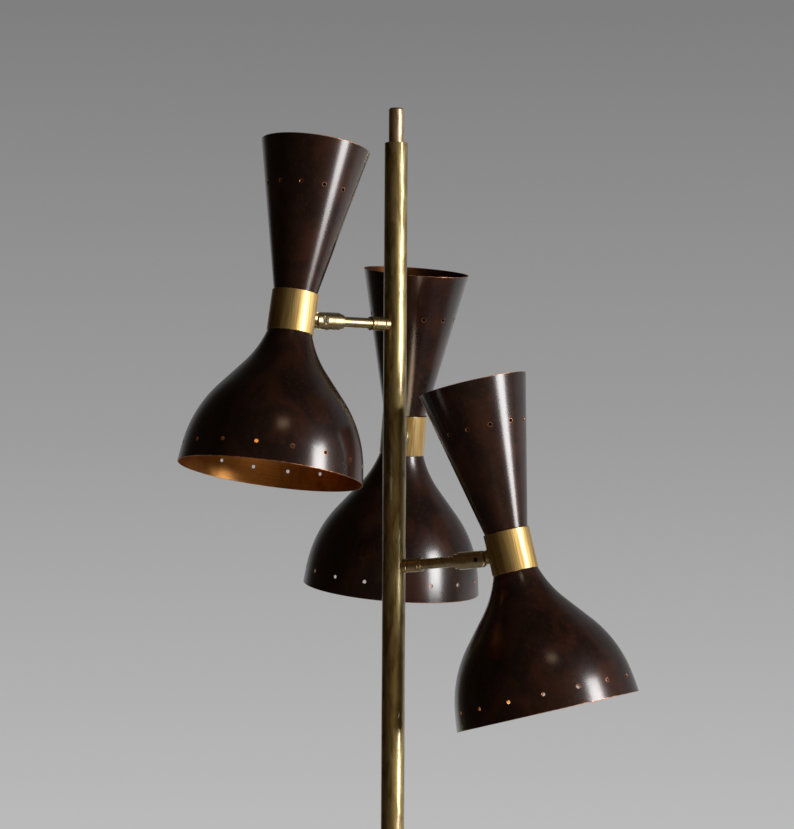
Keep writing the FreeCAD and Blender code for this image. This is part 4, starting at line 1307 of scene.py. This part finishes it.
    def square(self) -> list[Point]:
        """The square of grid points round the hole, in order, as (across, along)."""
        steps = self.patch_steps
        side = [self.patch * (2 * k / steps - 1) for k in range(steps)]
        return ([(s, -self.patch) for s in side] + [(self.patch, s) for s in side]
                + [(-s, self.patch) for s in side] + [(-self.patch, -s) for s in side])

    def ring(self, mesh: bmesh.types.BMesh, share: float, reach: float,
             inset: float) -> list[bmesh.types.BMVert]:
        """A ring of vertices between the square round the hole and a circle in it.

        Args:
            mesh: the sector.
            share: 1 on the square, and 0 on the circle.
            reach: the circle's radius.
            inset: how far inside the outer face it lies.

        Returns:
            One vertex for each point of the square.
        """
        points = []
        for across, along in self.square():
            angle = math.atan2(along, across)
            points.append(self.on_wall(mesh, share * across + (1 - share) * reach * math.cos(angle),
                                       share * along + (1 - share) * reach * math.sin(angle), inset))
        return points

    @staticmethod
    def join_rings(face: AddFace, rings: Sequence[Sequence[bmesh.types.BMVert]],
                   zones: Sequence[Zone]) -> None:
        """Joins each ring to the next one with a strip of faces in the strip's zone."""
        for outer, inner, zone in zip(rings, rings[1:], zones):
            for k in range(len(outer)):
                after = (k + 1) % len(outer)
                face([outer[k], outer[after], inner[after], inner[k]], zone)

    def punch(self, mesh: bmesh.types.BMesh, at: GridVertex, face: AddFace, first_row: int,
              first_column: int, inset: float, zone: Zone, way: int) -> list[bmesh.types.BMVert]:
        """Fills the square round the hole on one face of the sheet.

        Args:
            mesh: the sector.
            at: gives a grid vertex by its row and column.
            face: makes a face with its zone.
            first_row: the square's first row in the outline.
            first_column: its first column.
            inset: 0 on the outer face, or the sheet's thickness.
            zone: the face's zone.
            way: 1 where the rows run away from the band, or -1.

        Returns:
            The vertices of the eased hole's lip.
        """
        steps = self.patch_steps
        frame = []
        for across, along in self.square():
            column = first_column + round((across / self.patch + 1) * steps / 2)
            share = round((way * along / self.patch + 1) * steps / 2)
            frame.append(at(first_row + share, column))
        lip = self.hole_radius + self.hole_ease
        bare = lip + self.bare_ring
        rings = [frame] + [self.ring(mesh, share, reach, inset) for share, reach in
                           ((self.ring_share, bare), (0.0, bare), (0.0, lip))]
        lip_zone = Zone.EDGE if zone is Zone.OUTSIDE else zone
        self.join_rings(face, rings, (zone, zone, lip_zone))
        return rings[-1]


@dataclass
class Cone(SpunShade):
    """The upper shade: a straight cone that opens upward."""

    bottom_radius: float = 23.1
    top_radius: float = 58.0
    inner: Zone = Zone.UPPER_INSIDE

    def wall(self, depth: float, inset: float) -> Point:
        """A point of the cone's wall."""
        angle = self.slope(depth)
        radius = self.bottom_radius + depth * math.tan(angle)
        return (radius - inset / math.cos(angle), self.band_half + depth)

    def slope(self, depth: float) -> float:
        """The cone's half angle."""
        return math.atan((self.top_radius - self.bottom_radius) / self.height)

    def upward(self) -> int:
        """The cone opens upward."""
        return 1


@dataclass
class Bell(SpunShade):
    """The lower shade: it flares from the band, runs straight, then turns in to an upright skirt."""

    top_radius: float = 24.0
    flare_depth: float = 38.0
    straight_depth: float = 65.0
    turn_depth: float = 129.0
    angles: tuple[float, ...] = (17.0, 39.6, 39.6, 8.6, 4.9)
    height: float = 151.0
    holes: int = 16
    hole_depth: float = 132.5
    row_step: float = 4.0
    side_steps: int = 4

    def stretches(self) -> list[tuple[float, float, float, float]]:
        """The wall's stretches, each as its first and last depth and the wall's angles there."""
        depths = (0.0, self.flare_depth, self.straight_depth, self.turn_depth, self.height)
        angles = [math.radians(angle) for angle in self.angles]
        return list(zip(depths, depths[1:], angles, angles[1:]))

    def slope(self, depth: float) -> float:
        """The wall's angle from the axis: its sine changes evenly along each arc."""
        stretches = self.stretches()
        top, bottom, first, last = next((s for s in stretches if depth <= s[1]), stretches[-1])
        share = (depth - top) / (bottom - top)
        return math.asin(math.sin(first) + share * (math.sin(last) - math.sin(first)))

    def outer_radius(self, depth: float) -> float:
        """The bell's outer radius at a depth, from its arcs."""
        radius = self.top_radius
        for top, bottom, first, last in self.stretches():
            reached = min(depth, bottom)
            if first == last:
                radius += (reached - top) * math.tan(first)
            else:
                arc = (bottom - top) / (math.sin(last) - math.sin(first))
                radius += arc * (math.cos(first) - math.cos(self.slope(reached)))
            if depth <= bottom:
                break
        return radius

    def wall(self, depth: float, inset: float) -> Point:
        """A point of the bell's wall."""
        angle = self.slope(depth)
        return (self.outer_radius(depth) - inset * math.cos(angle),
                -self.band_half - depth - inset * math.sin(angle))

    def upward(self) -> int:
        """The bell opens downward."""
        return -1


@dataclass
class DoubleShade:
    """One double shade: the brushed band, the cone and bell on it, and the lampholders and bulbs."""

    setting: HeadSetting
    band_radius: float = 24.75
    band_bore: float = 22.9
    band_half: float = 22.0
    holder_radius: float = 13.5
    holder_start: float = 7.0
    holder_end: float = 47.0
    holder_bore: float = 7.2
    holder_floor: float = 16.0
    stem_radius: float = 5.0
    cap_radius: float = 6.95
    cap_start: float = 20.0
    neck_start: float = 47.6
    neck_radius: float = 9.0
    glass: float = 1.2
    candle_radius: float = 17.5
    candle_widest: float = 76.0
    candle_end: float = 122.0
    candle_tip: float = 5.0
    globe_radius: float = 22.5
    globe_centre: float = 80.0
    grooves: Point = (18.0, 24.0)
    groove_width: float = 3.0
    groove_depth: float = 0.8
    groove_flank: float = 0.6

    def build(self, shop: Workshop) -> None:
        """Builds and dresses the shade."""
        head = self.setting.name
        body = "shade_" + head
        place = self.setting.shade_place()
        shop.show(self.band(place), body, "brushed_brass", BRUSHED_BRASS, "band_" + head)
        for shade, name, turn in ((Cone(), "cone_", self.setting.cone_turn),
                                  (Bell(), "bell_", self.setting.bell_turn)):
            whole = shop.ring.whole(shade.sector(), name + head + "_spun", shade.holes, turn)
            mesh = settled(whole, name + head + "_spun", place)
            shop.show(mesh, body, "shade_lacquer", None, name + head)
        tongue = shop.eased("tongue_" + head, "tongue_" + head + "_eased", 0.4, place)
        shop.show(tongue, body, "satin_brass", TURNED_BRASS, "tongue_" + head)
        holders = self.both_ways(self.holder())
        shop.show(settled(holders, "lampholders_" + head + "_moulded", place), body, "holder_black",
                  PHENOLIC, "lampholders_" + head)
        for outline, way, name in ((self.candle(), Matrix(), "bulb_up_"),
                                   (self.globe(), UPSIDE_DOWN, "bulb_down_")):
            bulb = turned(outline, SMALL_ROUND)
            bulb.transform(way)
            shop.show(settled(bulb, name + head + "_blown", place), body, "bulb_glass", OPAL_GLASS,
                      name + head)
        shop.dress(PLATED_STEEL, "socket_bridge_" + head, "socket_stem_" + head)

    def band(self, place: Matrix) -> bpy.types.Mesh:
        """The brass sleeve, with eased ends."""
        outline = rounded([(self.band_bore, -self.band_half, 0), (self.band_radius, -self.band_half, 0.45),
                           (self.band_radius, self.band_half, 0.45), (self.band_bore, self.band_half, 0)])
        return settled(turned(outline, LARGE_ROUND), "band_" + self.setting.name + "_brushed", place)

    def holder(self) -> list[Point]:
        """One lampholder: a plain sleeve with two gripping grooves and a rounded lip."""
        radius = self.holder_radius
        inner = radius - self.groove_depth
        corners = [(self.stem_radius, self.holder_start, 0), (radius, self.holder_start, 0.6)]
        for start in self.grooves:
            end = start + self.groove_width
            corners += [(radius, start, 0.3), (inner, start + self.groove_flank, 0.2),
                        (inner, end - self.groove_flank, 0.2), (radius, end, 0.3)]
        corners += [(radius, self.holder_end, 1.0), (self.holder_bore, self.holder_end, 0.4),
                    (self.holder_bore, self.holder_floor, 0), (self.stem_radius, self.holder_floor, 0)]
        return rounded(corners, hold=0.05)

    @staticmethod
    def both_ways(outline: Sequence[Point]) -> bmesh.types.BMesh:
        """Two like turned pieces in one mesh, the second upside down."""
        both = turned(outline, SMALL_ROUND)
        other = turned(outline, SMALL_ROUND)
        other.transform(UPSIDE_DOWN)
        spare = bpy.data.meshes.new("spare")
        other.to_mesh(spare)
        other.free()
        both.from_mesh(spare)
        bpy.data.meshes.remove(spare)
        return both

    def cap(self) -> list[Point]:
        """The bulb's cap, down its outside and up its bore."""
        return [(self.neck_radius, self.neck_start), (self.cap_radius, self.neck_start),
                (self.cap_radius, self.cap_start), (self.glass, self.cap_start)]

    def candle(self) -> list[Point]:
        """The candle bulb, swelling to its widest and narrowing to a round tip."""
        tip = self.candle_tip

        def side(inset: float) -> list[Point]:
            """The glass from neck to tip, this far inside its outer face."""
            rise = self.candle_widest - self.neck_start
            width = self.candle_radius - self.neck_radius
            swell = (width ** 2 + rise ** 2) / (2 * width)
            centre = self.candle_end - tip
            fall = centre - self.candle_widest
            taper = (self.candle_radius ** 2 + fall ** 2 - tip ** 2) / (2 * (self.candle_radius - tip))
            start = -math.asin(rise / (swell - inset))
            turn = math.atan2(fall, taper - self.candle_radius)
            points = []
            for radius, middle, first, last, count in (
                    (swell, (self.candle_radius - swell, self.candle_widest), start, 0.0, 12),
                    (taper, (self.candle_radius - taper, self.candle_widest), 0.0, turn, 16),
                    (tip, (0.0, centre), turn, math.pi / 2, 8)):
                for step in range(count + (radius == tip)):
                    angle = first + (last - first) * step / count
                    reach = radius - inset
                    points.append((max(0.0, middle[0] + reach * math.cos(angle)),
                                   middle[1] + reach * math.sin(angle)))
            points[-1] = (0.0, points[-1][1])
            return points

        return list(reversed(self.cap())) + side(0.0) + list(reversed(side(self.glass)))

    def globe(self) -> list[Point]:
        """The small globe bulb, on the same cap."""

        def ball(radius: float, neck: float) -> list[Point]:
            """The round glass from its neck to its far end."""
            first = -math.acos(neck / radius)
            steps = 28
            angles = [first + (math.pi / 2 - first) * step / steps for step in range(steps + 1)]
            points = [(radius * math.cos(angle), self.globe_centre + radius * math.sin(angle))
                      for angle in angles]
            points[-1] = (0.0, self.globe_centre + radius)
            return points

        outer = ball(self.globe_radius, self.neck_radius)
        inner = ball(self.globe_radius - self.glass, self.neck_radius - 2 * self.glass)
        return list(reversed(self.cap())) + outer + list(reversed(inner))


# The studio ---------------------------------------------------------------------------------------

@dataclass
class Softbox:
    """One soft area light."""

    name: str
    centre: Triple
    aim: Triple
    width: float
    height: float
    radiance: float
    colour: str = "FFFFFF"

    def build(self) -> None:
        """Hangs the softbox where it faces its aim."""
        lamp = bpy.data.lights.new(self.name, "AREA")
        lamp.shape = "RECTANGLE"
        lamp.size = self.width
        lamp.size_y = self.height
        lamp.energy = self.radiance * math.pi * self.width * self.height
        lamp.color = linear(self.colour)[:3]
        box = bpy.data.objects.new(self.name, lamp)
        bpy.context.scene.collection.objects.link(box)
        box.location = self.centre
        box.rotation_euler = (Vector(self.aim) - Vector(self.centre)).to_track_quat("-Z", "Y").to_euler()
        box.visible_camera = False


@dataclass
class Studio:
    """A pale floor, a grey backdrop, a dim warm room on the near side, and three soft lights.

    A way is a direction, an edge the cosines from it where a patch of the room begins and is full.
    """

    floor_solid: float = 1.4
    floor_end: float = 4.5
    floor_colour: str = "C6C6C5"
    # The backdrop darkens upward: its grey at a few sines of the view's elevation.
    greys: tuple[tuple[float, int], ...] = ((-0.2, 192), (-0.015, 186), (0.09, 156), (0.2, 127),
                                            (0.35, 112), (0.9, 96))
    backdrop_way: Triple = (0.35, 0.937, 0.0)
    backdrop_edge: Point = (0.35, 0.72)
    near_way: Triple = (0.2, -0.98, 0.0)
    near_edge: Point = (-0.1, 0.9)
    near_glow: float = 0.055
    near_colour: str = "FFDCB4"
    side_way: Triple = (0.97, 0.24, 0.0)
    side_edge: Point = (0.72, 0.97)
    side_glow: float = 0.06
    dark: float = 0.02

    def build(self) -> None:
        """Builds the world, the floor and the lights."""
        self.world()
        self.floor()
        # The tall one draws the streaks, the low one lights the bells' insides, and the top one lays a
        # faint warm spot on each bell.
        for light in (
                Softbox("tall_softbox", (2.43, -1.28, 2.34), (0.03, 0.0, 2.12), width=0.84, height=1.5,
                        radiance=19.0),
                Softbox("low_panel", (0.6, -1.7, 0.6), (0.0, 0.0, 2.1), width=0.9, height=0.6,
                        radiance=7.0, colour="FFE2C0"),
                Softbox("top_panel", (0.5, -1.9, 3.9), (0.0, 0.0, 2.3), width=0.5, height=0.3,
                        radiance=3.0, colour="FFDDB8"),
        ):
            light.build()

    def world(self) -> None:
        """The backdrop, seen whole by the camera, and by metal only where it stands."""
        world = bpy.data.worlds.new("studio")
        world.use_nodes = True
        tree = world.node_tree
        tree.nodes.clear()
        way = add_node(tree, "ShaderNodeTexCoord").outputs["Generated"]
        height = add_node(tree, "ShaderNodeSeparateXYZ", inputs={0: way}).outputs["Z"]
        low, high = self.greys[0][0], self.greys[-1][0]
        position = add_node(tree, "ShaderNodeMapRange", inputs={
            "Value": height, "From Min": low, "From Max": high}).outputs[0]
        ramp = add_node(tree, "ShaderNodeValToRGB", inputs={0: position})
        while len(ramp.color_ramp.elements) < len(self.greys):
            ramp.color_ramp.elements.new(0.5)
        for element, (sine, grey) in zip(ramp.color_ramp.elements, self.greys):
            element.position = (sine - low) / (high - low)
            element.color = linear("%02X%02X%02X" % (grey, grey, grey))
        backdrop = self.lobe(tree, way, self.backdrop_way, self.backdrop_edge, (0.0, 1.0))
        near = self.lobe(tree, way, self.near_way, self.near_edge, (self.dark, self.near_glow))
        side = self.lobe(tree, way, self.side_way, self.side_edge, (0.0, self.side_glow))
        room = add_node(tree, "ShaderNodeMath", {"operation": "ADD"}, {0: near, 1: side}).outputs[0]
        warm = add_node(tree, "ShaderNodeVectorMath", {"operation": "SCALE"}, {
            0: linear(self.near_colour)[:3], 3: room}).outputs[0]
        lit = add_node(tree, "ShaderNodeMix", {"data_type": "RGBA"},
                       {0: backdrop, 6: warm, 7: ramp.outputs[0]}).outputs[2]
        path = add_node(tree, "ShaderNodeLightPath")
        seen = add_node(tree, "ShaderNodeMath", {"operation": "MAXIMUM"}, {
            0: path.outputs["Is Camera Ray"], 1: path.outputs["Is Transmission Ray"]}).outputs[0]
        colour = add_node(tree, "ShaderNodeMix", {"data_type": "RGBA"},
                          {0: seen, 6: lit, 7: ramp.outputs[0]}).outputs[2]
        glow = add_node(tree, "ShaderNodeBackground", inputs={"Color": colour, "Strength": 1.0})
        add_node(tree, "ShaderNodeOutputWorld", inputs={"Surface": glow.outputs[0]})
        bpy.context.scene.world = world

    @staticmethod
    def lobe(tree: bpy.types.NodeTree, way: bpy.types.NodeSocket, towards: Triple, edge: Point,
             values: Point) -> bpy.types.NodeSocket:
        """A soft patch of the room round one direction.

        Args:
            tree: the world's tree.
            way: the direction looked in.
            towards: the patch's middle.
            edge: the cosines where it begins and where it is full.
            values: its value outside and inside.

        Returns:
            The value.
        """
        facing = add_node(tree, "ShaderNodeVectorMath", {"operation": "DOT_PRODUCT"},
                          {0: way, 1: towards}).outputs["Value"]
        return Finish.spread(tree, facing, edge, values)

    def floor(self) -> None:
        """A round floor that melts into the backdrop at its edge."""
        disc = bmesh.new()
        bmesh.ops.create_circle(disc, cap_ends=True, segments=96, radius=self.floor_end)
        mesh = bpy.data.meshes.new("pale_floor")
        disc.to_mesh(mesh)
        disc.free()
        floor = bpy.data.objects.new("pale_floor", mesh)
        bpy.context.scene.collection.objects.link(floor)
        made = bpy.data.materials.new("painted_floor")
        made.use_nodes = True
        tree = made.node_tree
        tree.nodes.clear()
        place = add_node(tree, "ShaderNodeTexCoord").outputs["Object"]
        reach = add_node(tree, "ShaderNodeVectorMath", {"operation": "LENGTH"}, {0: place}).outputs["Value"]
        melt = Finish.spread(tree, reach, (self.floor_solid, self.floor_end), (0.0, 1.0))
        paint = add_node(tree, "ShaderNodeBsdfDiffuse", inputs={"Color": linear(self.floor_colour)})
        gone = add_node(tree, "ShaderNodeBsdfTransparent")
        mixed = add_node(tree, "ShaderNodeMixShader", inputs={0: melt, 1: paint.outputs[0],
                                                              2: gone.outputs[0]})
        add_node(tree, "ShaderNodeOutputMaterial", inputs={"Surface": mixed.outputs[0]})
        mesh.materials.append(made)
        floor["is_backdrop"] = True


@dataclass
class PhotoCamera:
    """The photograph's eye: four metres back, low on the lamp and looking a little up."""

    place: Triple = (0.005, -4.0, 1.7395)
    yaw: float = -0.036
    pitch: float = 5.395
    roll: float = 0.308
    focal: float = 162.37
    sensor: float = 36.0

    def build(self) -> None:
        """Makes the camera and gives it to the scene."""
        yaw, pitch, roll = (math.radians(angle) for angle in (self.yaw, self.pitch, self.roll))
        ahead = Vector((math.sin(yaw) * math.cos(pitch), math.cos(yaw) * math.cos(pitch), math.sin(pitch)))
        level = Vector((math.cos(yaw), -math.sin(yaw), 0))
        above = level.cross(ahead)
        right = level * math.cos(roll) + above * math.sin(roll)
        up = above * math.cos(roll) - level * math.sin(roll)
        lens = bpy.data.cameras.new("photo_camera")
        lens.lens = self.focal
        lens.sensor_width = self.sensor
        lens.sensor_fit = "AUTO"
        lens.clip_end = 100.0
        camera = bpy.data.objects.new("photo_camera", lens)
        bpy.context.scene.collection.objects.link(camera)
        camera.matrix_world = axes_matrix(Vector(self.place) / MM, right, up, -ahead)
        bpy.context.scene.camera = camera


def write_sizes(before: tuple[Vector, Vector], after: tuple[Vector, Vector]) -> None:
    """Puts the CAD box and the dressed box into plain lists."""
    boxes = {name: [list(corner) for corner in box] for name, box in (("cad", before), ("visual", after))}


def main() -> None:
    """Builds the lamp, its studio and the camera, in order."""
    logging.basicConfig(level=logging.INFO, format="%(name)s: %(message)s")
    bpy.context.scene.view_settings.view_transform = "Standard"
    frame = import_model()
    cad_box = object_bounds()
    shop = Workshop(frame)
    PhotoCamera().build()
    Studio().build()
    Foot().build(shop)
    Pole().build(shop)
    Plunger().build(shop)
    ArmRoots().build(shop)
    for setting in HEADS:
        Arm(setting).build(shop)
        DoubleShade(setting).build(shop)
    write_sizes(cad_box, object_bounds())


if __name__ == "__main__":
    main()
